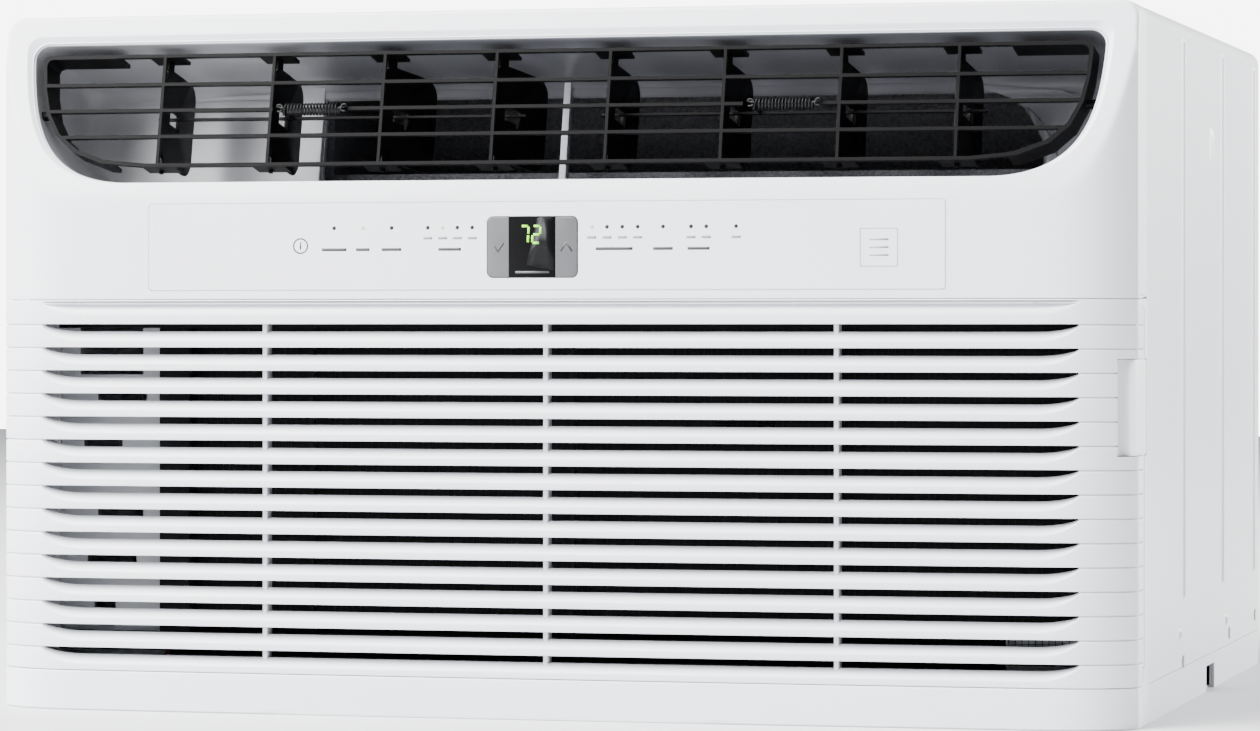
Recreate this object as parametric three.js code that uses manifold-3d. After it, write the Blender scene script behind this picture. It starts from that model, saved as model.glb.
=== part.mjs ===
// A sleeve-type room air conditioner as an assembly of separate pieces, in millimetres, +Z up.
// The front faces -Y, +X is the right-hand side seen from the front, and z = 0 is the surface it stands on.
import * as THREE from "three";
import { mergeVertices } from "three/addons/utils/BufferGeometryUtils.js";
import Module from "manifold-3d";

const wasm = await Module();
wasm.setup();

// ---------- driving sizes ----------
const WIDTH = 610; // across the front
const DEPTH = 511; // front of the fascia to the back of the cabinet
const HEIGHT = 368; // floor to the top of the cabinet
const GAP = 0.3; // clearance between pieces that touch

// front panel
const PANEL_DEPTH = 54.5; // how far the plastic front wraps back along the sides
const PANEL_WALL = 2.6;
const FRONT_BOW = 5; // the fascia bows forward by this much at its middle
const CORNER_WIDTH = 55; // the width over which each front corner rolls back
const CORNER_DEPTH = 18; // and how far back it rolls
const CORNER_POWER = 3.5;
const BEZEL_TILT = THREE.MathUtils.degToRad(13);
const CONTROL_BAND = 54; // the height of the flat band that holds the controls

// air outlet in the bezel; heights here run up the slope from the crease
const OUTLET_SIDE = 12.4; // from the side of the panel to the outlet's rim
const OUTLET_LOW = 7.8;
const OUTLET_TALL = 81;
const OUTLET_HIGH = 10.75; // from the outlet's rim up to the top of the panel
const RIM_CHAMFER = 4.3;
const DUCT_WALL = 2;
const DUCT_DEPTH = 74;
const DUCT_DRAFT = 4;

// louver
const FRAME_MARGIN = 5.8; // between the rim and the louver frame at the sides
const FRAME_MARGIN_HIGH = 5.4; // and at the top and the bottom
const FRAME_IN = 4; // the louver's front plane, behind the bezel plane
const BAR = 1.8; // a louver bar, seen from the front
const BAR_DEEP = 3;
const BAR_STEP = 14.3; // between the three inner bars
const CHEEK_DEEP = 19; // the deep end plates of the louver frame
const PIVOT_IN = 13.5; // the louver's side pivots, behind the bezel plane
const PIVOT_R = 2.5;
const VANE_COUNT = 8;
const VANE_END = 68.65; // from the side of the louver frame to the end vanes
const VANE_IN = 14; // the vane pins, behind the bezel plane
const VANE_DEEP = 43; // a blade, front edge to rear edge
const VANE_THICK = 1.6;
const VANE_TURN = [0, 0, 25, 25, 7, 7, 7, 7]; // how each blade stands at rest, in degrees
const PIN_R = 1.3;
const CRANK = 10; // from a vane's pin to the tie bar
const TIE_WIDE = 3;
const TIE_THICK = 1.2;
const HOOK_THICK = 1.2; // of the tie bar's hook that holds the spring
const SPRING_R = 2.8;
const SPRING_WIRE = 0.45;
const SPRING_TURNS = 11;
const SPRING_LONG = 32;
const SPRING_FROM = 7.5; // from the second vane to the left spring
const SPRING_TO = 12.1; // from the right spring to the seventh vane

// intake grille
const GRILLE_LOW = 21; // the grille's lower seam
const GRILLE_WRAP = 38.8; // how far it wraps round each side
const SLOT_PITCH = 12.2;
const SLOT_GAP = 2.8; // the open part of a slot
const SLOT_SILL = 4; // the sloped sill below it
const SLOT_END = 26.5; // from the side of the panel to a slot's tip
const SLOT_HEAD = 12.9; // from the grille's upper seam to the first slot
const SLAT_DEEP = 7;
const RIB_STEP = 153; // upright ribs behind the slats

// filter
const FILTER_THICK = 3.4;
const FILTER_RIM = 10;
const NET_LAP = 3; // how far the net laps onto the frame
const NET_POCKET = 1;
const FILTER_LOW = 30;
const HANDLE_LOW = 138;
const HANDLE_TALL = 48;
const HANDLE_DEEP = 30;

// cabinet
const SHEET = 1.2;
const SIDE_PROUD = 0.8; // how far the cabinet's beads stand proud of its sides
const PAN_LIP = 20; // the visible height of the base pan
const PAN_FLANGE = 34;
const BEAD_WIDE = 6;
const BEAD_LOW = 56;
const BEAD_INSET = 10;
const BEAD_PLACES = [135, 292, 432]; // from the panel joint to each upright bead
const SCREW_PLACES = [[134, 23], [323, 26.5], [440, 30]]; // from the joint, and up
const SCREW_R = 3.6;
const NOTCH_PLACE = 225; // drain notch in the pan's side, from the joint
const NOTCH_WIDE = 33;
const NOTCH_TALL = 14;
const REAR_COLUMNS = 7; // windows of the rear grille
const REAR_ROWS = 5;
const REAR_BAR = 10; // between them
const REAR_LOW = 46;

// air and refrigerant
const BLOWER_X = 60;
const BLOWER_Z = 158;
const BLOWER_R = 92;
const BLOWER_LONG = 56;
const BLOWER_BLADES = 12;
const SCROLL_R = 112;
const FAN_R = 118;
const SHAFT_R = 4;
const MOTOR_R = 60;
const MOTOR_LONG = 84;
const COIL_DEEP = 38;
const COIL_ROWS = 5;
const PIPE_LANE = 0.78; // where the pipes join a coil, from its front to its back
const BULKHEAD_IN = 163; // from the panel joint to the bulkhead
const TUBE_R = 4.75;
const COMPRESSOR_R = 60;
const COMPRESSOR_TALL = 196;
const COMPRESSOR_X = 84; // from the left side to the compressor's axis
const COMPRESSOR_Y = 104; // from the bulkhead to the compressor's axis

// controls, from the middle of the fascia and from the lower edge of the control band
const OVERLAY_LEFT = -216.5;
const OVERLAY_RIGHT = 210.2;
const OVERLAY_LOW = 4.6;
const OVERLAY_TALL = 46;
const OVERLAY_THICK = 0.6;
const DISPLAY_MID = -5.6;
const DISPLAY_WIDE = 24.7;
const DISPLAY_LOW = 11.2;
const DISPLAY_TALL = 31.2;
const KEY_WIDE = 11.8;
const KEY_DEEP = 5;

// ---------- places worked out from them ----------
const halfW = WIDTH / 2;
const front = -DEPTH / 2;
const back = DEPTH / 2;
const joint = front + PANEL_DEPTH;
const bezelRise = (OUTLET_LOW + OUTLET_TALL + OUTLET_HIGH) * Math.cos(BEZEL_TILT);
const creaseZ = HEIGHT - bezelRise;
const lean = Math.tan(BEZEL_TILT);
const grilleTop = creaseZ - CONTROL_BAND;
const wrapY = front + GRILLE_WRAP;
const filterFront = wrapY + 0.5;
const filterBack = filterFront + FILTER_THICK;
const filterTop = grilleTop - 5;
const sideX = halfW - SIDE_PROUD;
const slotX = halfW - SLOT_END;
const slotCount = 1 + Math.round((grilleTop - SLOT_HEAD - SLOT_GAP - GRILLE_LOW - 9.5) / SLOT_PITCH);
const outletX = halfW - OUTLET_SIDE;
const outletMid = OUTLET_LOW + OUTLET_TALL / 2;
const frameHalf = OUTLET_TALL / 2 - RIM_CHAMFER - FRAME_MARGIN_HIGH;
const frameWide = outletX - RIM_CHAMFER - FRAME_MARGIN;
const vaneX = (i) => (frameWide - VANE_END) * ((2 * i) / (VANE_COUNT - 1) - 1);
const bulkheadY = joint + BULKHEAD_IN;
const coilFront = filterBack + 8;
const coilBack = coilFront + COIL_DEEP;
const coilLow = 27;
const coilTop = grilleTop + 12;
const coilLeft = -halfW + 83;
const coilRight = halfW - 35;
const CONDENSER_LOW = 6;
const floorTop = SHEET + GAP; // where pieces inside stand on the pan
const condenserBack = back - 22;
const condenserFront = condenserBack - COIL_DEEP;
const condenserLeft = -halfW + 150;
const condenserRight = halfW - 22;
const condenserTop = HEIGHT - 16;
const fanY = condenserFront - 40;
const motorFront = bulkheadY + 12;
const compressorX = -halfW + COMPRESSOR_X;
const compressorY = bulkheadY + COMPRESSOR_Y;
const throatLeft = -halfW + 160;
const throatRight = halfW - 45;

// the fascia's plan: a gentle bow, then a roll back at each corner
function frontY(x) {
  const roll = Math.max(0, Math.abs(x) - halfW + CORNER_WIDTH) / CORNER_WIDTH;
  return bowY(x) + CORNER_DEPTH * roll ** CORNER_POWER;
}

function bowY(x) {
  return front + FRONT_BOW * (x / halfW) ** 2;
}

// ---------- finishes ----------
const finish = (color, roughness, metalness = 0) =>
  new THREE.MeshStandardMaterial({ color, roughness, metalness });
const WHITE_PLASTIC = ["#eef0f2", 0.42];
const GREY_PLASTIC = ["#b9bcc1", 0.5];
const BLACK_PLASTIC = ["#17181a", 0.45];
const CLEAR_BLACK = ["#0b0c0d", 0.12];
const KEY_GREY = ["#a9abae", 0.4];
const PAINTED_STEEL = ["#e6e8ea", 0.4, 0.1];
const ZINC = ["#b4b8bb", 0.35, 0.9];
const ALUMINIUM = ["#c3c7ca", 0.38, 0.9];
const COPPER = ["#b87348", 0.35, 1];
const BLACK_PAINT = ["#1c1d1f", 0.4, 0.3];
const FOAM = ["#34353a", 0.9];
const RUBBER = ["#222222", 0.85];
const CIRCUIT_GREEN = ["#20613d", 0.6];
const SPRING_STEEL = ["#6f7378", 0.3, 1];
const NET = ["#8f9499", 0.8];

// ---------- solids ----------
function solidOf(geometry) {
  const plain = geometry.index ? geometry.toNonIndexed() : geometry.clone();
  plain.deleteAttribute("normal");
  plain.deleteAttribute("uv");
  const merged = mergeVertices(plain, 1e-4);
  return new wasm.Manifold(
    new wasm.Mesh({
      numProp: 3,
      vertProperties: merged.attributes.position.array,
      triVerts: new Uint32Array(merged.index.array),
    }),
  );
}

function geometryOf(solid) {
  const mesh = solid.getMesh();
  return new THREE.BufferGeometry()
    .setAttribute("position", new THREE.BufferAttribute(new Float32Array(mesh.vertProperties), 3))
    .setIndex(new THREE.BufferAttribute(new Uint32Array(mesh.triVerts), 1));
}

const union = (list) => list.reduce((a, b) => a.add(b));
const cut = (body, list) => list.reduce((a, b) => a.subtract(b), body);

function box(x0, x1, y0, y1, z0, z1) {
  const block = new THREE.BoxGeometry(x1 - x0, y1 - y0, z1 - z0);
  return solidOf(block.translate((x0 + x1) / 2, (y0 + y1) / 2, (z0 + z1) / 2));
}

// An outline of [a, b] pairs pushed along an axis: [x, y] along z, [y, z] along x, or [z, x] along y.
function prism(outline, from, to, axis = "z", holes = []) {
  const vectors = (list) => list.map(([a, b]) => new THREE.Vector2(a, b));
  const shape = new THREE.Shape(vectors(outline));
  shape.holes = holes.map((hole) => new THREE.Path(vectors(hole)));
  const body = new THREE.ExtrudeGeometry(shape, { depth: to - from, bevelEnabled: false });
  body.translate(0, 0, from);
  const turn = new THREE.Matrix4();
  if (axis === "x") turn.set(0, 0, 1, 0, 1, 0, 0, 0, 0, 1, 0, 0, 0, 0, 0, 1);
  if (axis === "y") turn.set(0, 1, 0, 0, 0, 0, 1, 0, 1, 0, 0, 0, 0, 0, 0, 1);
  return solidOf(body.applyMatrix4(turn));
}

// A closed skin through rings of equal point count, capped at both ends; flat names the caps' plane.
function loft(rings, flat) {
  const count = rings[0].length;
  const points = rings.flat();
  const faces = [];
  for (let r = 0; r + 1 < rings.length; r += 1) {
    for (let i = 0; i < count; i += 1) {
      const a = r * count + i;
      const b = r * count + ((i + 1) % count);
      faces.push([a, b, b + count], [a, b + count, a + count]);
    }
  }
  const cap = (ring) => {
    const pairs = ring.map(([x, y, z]) => new THREE.Vector2(...{ x: [y, z], y: [x, z], z: [x, y] }[flat]));
    const turnsLeft = THREE.ShapeUtils.area(pairs) > 0;
    return THREE.ShapeUtils.triangulateShape(turnsLeft ? pairs : pairs.reverse(), []).map((face) =>
      turnsLeft ? face : face.map((k) => count - 1 - k).reverse(),
    );
  };
  cap(rings[0]).forEach(([a, b, c]) => faces.push([c, b, a]));
  const last = points.length - count;
  cap(rings[rings.length - 1]).forEach(([a, b, c]) => faces.push([a + last, b + last, c + last]));
  return closedSolid(points, faces);
}

function closedSolid(points, faces) {
  const [a, b, c] = [new THREE.Vector3(), new THREE.Vector3(), new THREE.Vector3()];
  const sixfold = faces.reduce((sum, [i, j, k]) => {
    a.fromArray(points[i]);
    b.fromArray(points[j]);
    c.fromArray(points[k]);
    return sum + a.dot(b.cross(c));
  }, 0);
  const outward = sixfold > 0 ? faces : faces.map(([i, j, k]) => [k, j, i]);
  const geometry = new THREE.BufferGeometry()
    .setAttribute("position", new THREE.BufferAttribute(new Float32Array(points.flat()), 3))
    .setIndex(outward.flat());
  return solidOf(geometry);
}

// A [y, z] profile carried along x so that it follows the line y = path(x).
function sweep(profile, stations, path) {
  return loft(stations.map((x) => profile.map(([y, z]) => [x, path(x) + y, z])), "x");
}

// A [radius, height] profile turned about an axis through (a, b): x = a, z = b for an axis along y.
function turned(profile, axis, a, b, sides = 24) {
  const body = new THREE.LatheGeometry(profile.map(([r, h]) => new THREE.Vector2(r, h)), sides);
  if (axis === "z") body.rotateX(Math.PI / 2).translate(a, b, 0);
  if (axis === "y") body.translate(a, 0, b);
  if (axis === "x") body.rotateZ(-Math.PI / 2).translate(0, a, b);
  return solidOf(body);
}

const disc = (r, from, to, axis, a, b, sides = 24) =>
  turned([[0, from], [r, from], [r, to], [0, to]], axis, a, b, sides);

const ring = (inner, outer, from, to, axis, a, b, sides = 24) =>
  turned([[inner, from], [outer, from], [outer, to], [inner, to], [inner, from]], axis, a, b, sides);

function tube(points, radius, steps, sides = 8) {
  const path = new THREE.CatmullRomCurve3(points.map((p) => new THREE.Vector3(...p)), false, "centripetal");
  return tubeAlong(path, radius, steps, sides);
}

function tubeAlong(path, radius, steps, sides = 8) {
  const section = new THREE.Shape();
  section.absarc(0, 0, radius, 0, Math.PI * 2);
  const how = { steps, curveSegments: sides / 2, extrudePath: path, bevelEnabled: false };
  return solidOf(new THREE.ExtrudeGeometry(section, how));
}

function roundedBox(a0, a1, b0, b1, r, steps = 4) {
  const corners = [[a1 - r, b1 - r, 0], [a0 + r, b1 - r, 1], [a0 + r, b0 + r, 2], [a1 - r, b0 + r, 3]];
  return corners.flatMap(([a, b, quarter]) =>
    Array.from({ length: steps + 1 }, (_, i) => {
      const angle = ((quarter + i / steps) * Math.PI) / 2;
      return [a + r * Math.cos(angle), b + r * Math.sin(angle)];
    }),
  );
}

const swap = (outline) => outline.map(([a, b]) => [b, a]);
const evenly = (from, to, count) =>
  Array.from({ length: count + 1 }, (_, i) => from + ((to - from) * i) / count);

// stations along the panel, closer together where the corners roll
function stations(limit) {
  const flat = Math.min(limit, halfW - CORNER_WIDTH);
  const middle = evenly(-flat, flat, 4);
  if (limit <= flat) return middle;
  const corner = evenly(flat, limit, Math.ceil((limit - flat) / 15)).slice(1);
  return [...corner.map((x) => -x).reverse(), ...middle, ...corner];
}

const assembly = new THREE.Group();

function add(name, solid, look, group = assembly) {
  const mesh = new THREE.Mesh(geometryOf(solid), finish(...look));
  mesh.name = name;
  group.add(mesh);
  return mesh;
}

// ---------- the bezel's leaning frame: x across, y inward, z up the slope from the crease ----------
const slope = new THREE.Matrix4().makeRotationX(-BEZEL_TILT).setPosition(0, front, creaseZ);
const ontoSlope = (solid) => solidOf(geometryOf(solid).applyMatrix4(slope));
const louverGroup = new THREE.Group();
louverGroup.rotation.x = -BEZEL_TILT;
louverGroup.position.set(0, front, creaseZ);
assembly.add(louverGroup);

function halfOutline(wide, top, low, corner, bulge, foot) {
  const side = new THREE.CubicBezierCurve(
    new THREE.Vector2(wide, top - corner),
    new THREE.Vector2(wide - bulge[0], low + (top - low) * bulge[1]),
    new THREE.Vector2(wide - bulge[2], low),
    new THREE.Vector2(wide - foot, low),
  );
  const arc = evenly(Math.PI / 2, 0, 2).map((t) => [
    wide - corner + corner * Math.cos(t),
    top - corner + corner * Math.sin(t),
  ]);
  return [...arc, ...side.getPoints(6).slice(1).map((p) => [p.x, p.y])];
}

const bothSides = (half) => [...half, ...half.map(([x, z]) => [-x, z]).reverse()];

// the outlet's rim, drawn in by an amount all round
function outletOutline(inset) {
  const top = OUTLET_LOW + OUTLET_TALL - inset;
  return bothSides(halfOutline(outletX - inset, top, OUTLET_LOW + inset, 8, [2.6, 0.35, 12.6], 60.6));
}

function frameOutline(inset) {
  const wide = frameWide - inset;
  const half = frameHalf - inset;
  return bothSides(halfOutline(wide, outletMid + half, outletMid - half, 3, [1.5, 0.45, 5.5], 60.5));
}

const atDepth = (outline, depth) => outline.map(([x, z]) => [x, depth, z]);
const alongBow = (outline, depth) =>
  outline.map(([x, z]) => [x, depth + (bowY(x) - front) * Math.cos(BEZEL_TILT), z]);

// ---------- front panel ----------
function planOutline(inset, rear) {
  const curve = stations(halfW - inset).map((x) => [x, frontY(x) + inset]);
  return [...curve, [halfW - inset, rear], [-(halfW - inset), rear]];
}

function leaningSolid(inset) {
  const curve = evenly(-halfW - 30, halfW + 30, 12).map((x) => [x, bowY(x) + inset / Math.cos(BEZEL_TILT)]);
  const outline = [...curve, [halfW + 30, back], [-halfW - 30, back]];
  const shear = new THREE.Matrix4().set(1, 0, 0, 0, 0, 1, lean, -lean * creaseZ, 0, 0, 1, 0, 0, 0, 0, 1);
  return solidOf(geometryOf(prism(outline, -20, HEIGHT + 20)).applyMatrix4(shear));
}

function frontSolid(inset, rear, low, high) {
  return prism(planOutline(inset, rear), low, high).intersect(leaningSolid(inset));
}

const displayLeft = DISPLAY_MID - DISPLAY_WIDE / 2 - KEY_WIDE;
const displayRight = DISPLAY_MID + DISPLAY_WIDE / 2 + KEY_WIDE;
const displayLow = grilleTop + DISPLAY_LOW;
const displayTop = displayLow + DISPLAY_TALL;

function handleSpace(gap) {
  return box(
    halfW - 9 - gap, halfW + 2, wrapY - HANDLE_DEEP * 0.62 - gap, wrapY + HANDLE_DEEP * 0.38 + gap,
    HANDLE_LOW - gap, HANDLE_LOW + HANDLE_TALL + gap,
  );
}

function frontPanel() {
  const shell = frontSolid(0, joint, 0, HEIGHT).subtract(
    frontSolid(PANEL_WALL, joint + 5, PANEL_WALL, HEIGHT - PANEL_WALL),
  );
  const overlayPath = sweep(
    [[-5, grilleTop + OVERLAY_LOW - GAP], [OVERLAY_THICK + 0.2, grilleTop + OVERLAY_LOW - GAP],
      [OVERLAY_THICK + 0.2, grilleTop + OVERLAY_LOW + OVERLAY_TALL + GAP],
      [-5, grilleTop + OVERLAY_LOW + OVERLAY_TALL + GAP]],
    evenly(OVERLAY_LEFT - GAP, OVERLAY_RIGHT + GAP, 10), bowY,
  );
  const displayHole = box(
    displayLeft - GAP, displayRight + GAP, front - 5, front + 12, displayLow - GAP, displayTop + GAP,
  );
  const mouth = ontoSlope(loft([
    alongBow(outletOutline(0), -20), alongBow(outletOutline(0), 0.2),
    alongBow(outletOutline(RIM_CHAMFER), PANEL_WALL), alongBow(outletOutline(RIM_CHAMFER), 25),
  ], "y"));
  const grilleSpace = box(-halfW - 2, halfW + 2, front - 5, wrapY, GRILLE_LOW, grilleTop);
  const filterSlot = box(
    halfW - 20, halfW + 2, wrapY - 2, filterBack + GAP, FILTER_LOW - GAP, filterTop + GAP,
  );
  return cut(shell, [overlayPath, displayHole, mouth, grilleSpace, filterSlot, handleSpace(GAP)]);
}

// ---------- intake grille ----------
function slotCutter(z) {
  const past = SLAT_DEEP + 3;
  const sill = [[0, z - SLOT_SILL], [past, z - SLOT_SILL + (SLOT_SILL * past) / SLAT_DEEP]];
  const profile = [[-2, z - SLOT_SILL], ...sill, [past, z + SLOT_GAP], [-2, z + SLOT_GAP]];
  return sweep(profile, stations(slotX), frontY);
}

function intakeGrille() {
  const low = GRILLE_LOW + GAP;
  const high = grilleTop - GAP;
  const rear = wrapY - GAP;
  const shell = prism(planOutline(0, rear), low, high).subtract(
    prism(planOutline(PANEL_WALL, rear + 5), low + PANEL_WALL, high - PANEL_WALL),
  );
  const slats = sweep(
    [[0.5, low + 1], [SLAT_DEEP, low + 1], [SLAT_DEEP, high - 1], [0.5, high - 1]],
    stations(halfW - PANEL_WALL), frontY,
  );
  const ribs = [-RIB_STEP, 0, RIB_STEP].map((x) =>
    box(x - 1, x + 1, frontY(x) + SLAT_DEEP - 1, frontY(x) + SLAT_DEEP + 9, low + 1, high - 1),
  );
  const slots = Array.from({ length: slotCount }, (_, i) =>
    slotCutter(grilleTop - SLOT_HEAD - SLOT_GAP - i * SLOT_PITCH),
  );
  return union([cut(shell.add(slats), [...slots, handleSpace(GAP)]), ...ribs]);
}

// ---------- filter ----------
function airFilter() {
  const left = -halfW + 14;
  const right = halfW - 3.4;
  const frame = box(left, right, filterFront, filterBack, FILTER_LOW, filterTop);
  const bays = 4;
  const bay = (right - left - FILTER_RIM * 2) / bays;
  const holes = Array.from({ length: bays }, (_, i) =>
    box(
      left + FILTER_RIM + i * bay + 1.5, left + FILTER_RIM + (i + 1) * bay - 1.5,
      filterFront - 1, filterBack + 1, FILTER_LOW + FILTER_RIM, filterTop - FILTER_RIM,
    ),
  );
  const pocket = box(
    left + FILTER_RIM - NET_LAP, right - FILTER_RIM + NET_LAP, filterBack - NET_POCKET, filterBack + 1,
    FILTER_LOW + FILTER_RIM - NET_LAP, filterTop - FILTER_RIM + NET_LAP,
  );
  const strip = box(right - 1, halfW - 0.4, filterFront, filterBack, FILTER_LOW, filterTop);
  const grip = handleSpace(0).intersect(box(0, halfW - 0.2, front, joint, 0, HEIGHT));
  const scoop = box(
    halfW - 7, halfW + 1, wrapY - HANDLE_DEEP * 0.62 + 2, filterFront - 2,
    HANDLE_LOW + 3, HANDLE_LOW + HANDLE_TALL - 3,
  );
  const outside = frontSolid(0.3, joint, 0, HEIGHT);
  return cut(frame, [...holes, pocket]).add(strip).add(cut(grip, [scoop]).intersect(outside));
}

// the net lies in a pocket in the rear of the frame
function filterMesh() {
  const left = -halfW + 14 + FILTER_RIM;
  const right = halfW - 3.4 - FILTER_RIM;
  return box(left - NET_LAP + GAP, right + NET_LAP - GAP, filterBack - 0.7, filterBack - 0.1,
    FILTER_LOW + FILTER_RIM - NET_LAP + GAP, filterTop - FILTER_RIM + NET_LAP - GAP);
}

// ---------- outlet duct and foam scroll ----------
// the duct's walls close in by DUCT_DRAFT over its depth; extra grows the skin outward
function ductSkin(extra, from, to) {
  const inset = (depth) => RIM_CHAMFER - 1 + (DUCT_DRAFT * depth) / DUCT_DEPTH - extra;
  const ringAt = (depth) => atDepth(outletOutline(inset(depth)), depth);
  return loft([ringAt(from), ringAt(to)], "y");
}

// the duct's rear opening, with one large round corner at the upper right
function throatOutline() {
  const low = outletMid - 30;
  const high = outletMid + 29;
  const right = throatRight - 5;
  const round = 56;
  const arc = evenly(0, Math.PI / 2, 8).map((t) => [
    right - round + round * Math.cos(t),
    high - round + round * Math.sin(t),
  ]);
  return [[throatLeft, low], [right, low], ...arc, [throatLeft, high]];
}

function outletDuct() {
  const skin = ductSkin(DUCT_WALL, 0, DUCT_DEPTH);
  const hollow = ductSkin(0, -2, DUCT_DEPTH - DUCT_WALL);
  const throat = loft([-8, 5].map((past) => atDepth(throatOutline(), DUCT_DEPTH + past)), "y");
  const pinHoles = [-1, 1].map((side) => {
    const reach = side > 0 ? [outletX - 40, outletX + 5] : [-outletX - 5, -outletX + 40];
    return disc(PIVOT_R + GAP, ...reach, "x", PIVOT_IN, outletMid, 12);
  });
  const duct = ontoSlope(cut(skin, [hollow, throat, ...pinHoles]));
  return duct.intersect(frontSolid(PANEL_WALL + GAP, back, 0, HEIGHT));
}

const scrollFront = front + DUCT_DEPTH * Math.cos(BEZEL_TILT) + bezelRise * Math.tan(BEZEL_TILT) + 4;
const scrollBack = bulkheadY - 4;
const scrollInside = [scrollFront + 28, scrollBack - 14];

function blowerScroll() {
  const top = HEIGHT - 8;
  const block = box(throatLeft - 18, throatRight + 20, scrollFront, scrollBack, coilLow + 2, top);
  const throatLow = creaseZ + 14;
  const [inFront, inBack] = scrollInside;
  return cut(block, [
    disc(SCROLL_R, inFront, inBack, "y", BLOWER_X, BLOWER_Z, 24),
    box(BLOWER_X - SCROLL_R * 0.7, throatRight, inFront, inBack, BLOWER_Z + SCROLL_R * 0.6, top - 10),
    box(throatLeft, throatRight, scrollFront - 1, inBack, throatLow, top - 10),
    disc(BLOWER_R - 12, scrollFront - 1, inFront + 1, "y", BLOWER_X, BLOWER_Z, 24),
    disc(SHAFT_R + 8, inBack - 1, scrollBack + 1, "y", BLOWER_X, BLOWER_Z, 16),
  ]);
}

// ---------- louver: frame, vanes, tie bars and springs ----------
const springLeft = [vaneX(1) + SPRING_FROM, vaneX(6) - SPRING_TO - SPRING_LONG];

function louverFrame() {
  const deep = (from, to, inset) => loft([from, to].map((depth) => atDepth(frameOutline(inset), depth)), "y");
  const barBack = FRAME_IN + BAR_DEEP;
  const rimRing = deep(FRAME_IN, barBack, 0).subtract(deep(FRAME_IN - 1, barBack + 1, BAR));
  const cheekRing = deep(FRAME_IN, FRAME_IN + CHEEK_DEEP, 0).subtract(
    deep(FRAME_IN - 1, FRAME_IN + CHEEK_DEEP + 1, 2.1),
  );
  const cheeks = cheekRing.subtract(box(-frameWide + 42, frameWide - 42, 0, 40, 0, 200));
  const inside = deep(FRAME_IN, barBack, 0.5);
  const bars = [-1, 0, 1].map((k) => {
    const z = outletMid + k * BAR_STEP;
    return box(-halfW, halfW, FRAME_IN, barBack, z - BAR / 2, z + BAR / 2).intersect(inside);
  });
  const uprights = Array.from({ length: VANE_COUNT }, (_, i) =>
    box(vaneX(i) - 0.8, vaneX(i) + 0.8, FRAME_IN, FRAME_IN + 2.4,
      outletMid - frameHalf + 0.5, outletMid + frameHalf - 0.5),
  );
  const ears = [];
  const pinHoles = [];
  for (let i = 0; i < VANE_COUNT; i += 1) {
    for (const up of [-1, 1]) {
      const z = outletMid + up * (frameHalf - 1.1);
      ears.push(box(vaneX(i) - 9, vaneX(i) + 9, FRAME_IN + 1, VANE_IN + 5, z - 0.8, z + 0.8));
      pinHoles.push(disc(PIN_R + GAP, z - 3, z + 3, "z", vaneX(i), VANE_IN, 6));
    }
  }
  const springGaps = springLeft.map((x) =>
    box(x - 6.4, x + SPRING_LONG + 3, 0, 12, outletMid - BAR, outletMid + BAR),
  );
  const pivots = [-1, 1].map((side) => {
    const reach = side > 0 ? [frameWide - 6, outletX - 1] : [-outletX + 1, -frameWide + 6];
    return disc(PIVOT_R, ...reach, "x", PIVOT_IN, outletMid, 10);
  });
  const body = cut(union([rimRing, cheeks, ...bars]), springGaps);
  return cut(union([body, ...uprights, ...ears, ...pivots]), pinHoles);
}

const vaneLow = 3.4; // between a blade's shoulder and the louver bar

function vane(turn) {
  const tall = frameHalf - vaneLow;
  const rear = VANE_DEEP - 5;
  const outline = [
    [-5, tall - 6], [-1.5, tall - 1], [3, tall], [rear * 0.55, tall - 2], [rear - 4, tall - 8],
    [rear, tall - 14],
  ];
  const blade = prism([...outline, ...outline.map(([y, z]) => [y, -z]).reverse()],
    -VANE_THICK / 2, VANE_THICK / 2, "x");
  const slot = box(-2, 2, CRANK - 6, CRANK + 6, -3.7, 3.7);
  const boss = disc(PIN_R + 1.1, -tall + 1, tall, "z", 0, 0, 6);
  const pin = disc(PIN_R, -frameHalf - 1.6, frameHalf + 1.6, "z", 0, 0, 6);
  const body = union([blade.subtract(slot), boss, pin]);
  return solidOf(geometryOf(body).rotateZ(-THREE.MathUtils.degToRad(turn)));
}

function addVanes() {
  for (let i = 0; i < VANE_COUNT; i += 1) {
    const mesh = add(`vane_${i + 1}`, vane(VANE_TURN[i]), BLACK_PLASTIC, louverGroup);
    mesh.position.set(vaneX(i), VANE_IN, outletMid);
  }
}

const tieIn = VANE_IN + CRANK - 0.3;

// A flat bar through the slots of four blades, with a pair of pegs astride each blade.
function tieBar(firstVane) {
  const ends = [vaneX(firstVane) - 8, vaneX(firstVane + 3) + 12];
  const strip = box(ends[0], ends[1], tieIn - TIE_WIDE / 2, tieIn + TIE_WIDE / 2, outletMid - TIE_THICK / 2,
    outletMid + TIE_THICK / 2);
  const pegs = [];
  for (let i = firstVane; i < firstVane + 4; i += 1) {
    const turn = THREE.MathUtils.degToRad(VANE_TURN[i]);
    const x = vaneX(i) + CRANK * Math.sin(turn);
    for (const side of [-1, 1]) {
      const middle = x + side * (3.1 / Math.cos(turn));
      pegs.push(box(middle - 0.6, middle + 0.6, tieIn - 0.6, tieIn + 0.6, outletMid - 7, outletMid));
    }
  }
  const hookX = springLeft[firstVane ? 1 : 0] - SPRING_WIRE - GAP;
  const hookFront = FRAME_IN + BAR_DEEP + 2 * GAP;
  const hook = box(hookX - HOOK_THICK, hookX, hookFront, tieIn, outletMid - 0.4, outletMid + 1.2);
  const tip = box(hookX - HOOK_THICK, hookX, hookFront, hookFront + 1.6, outletMid - 2.4, outletMid + 1);
  return union([strip, ...pegs, hook, tip]);
}

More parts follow.
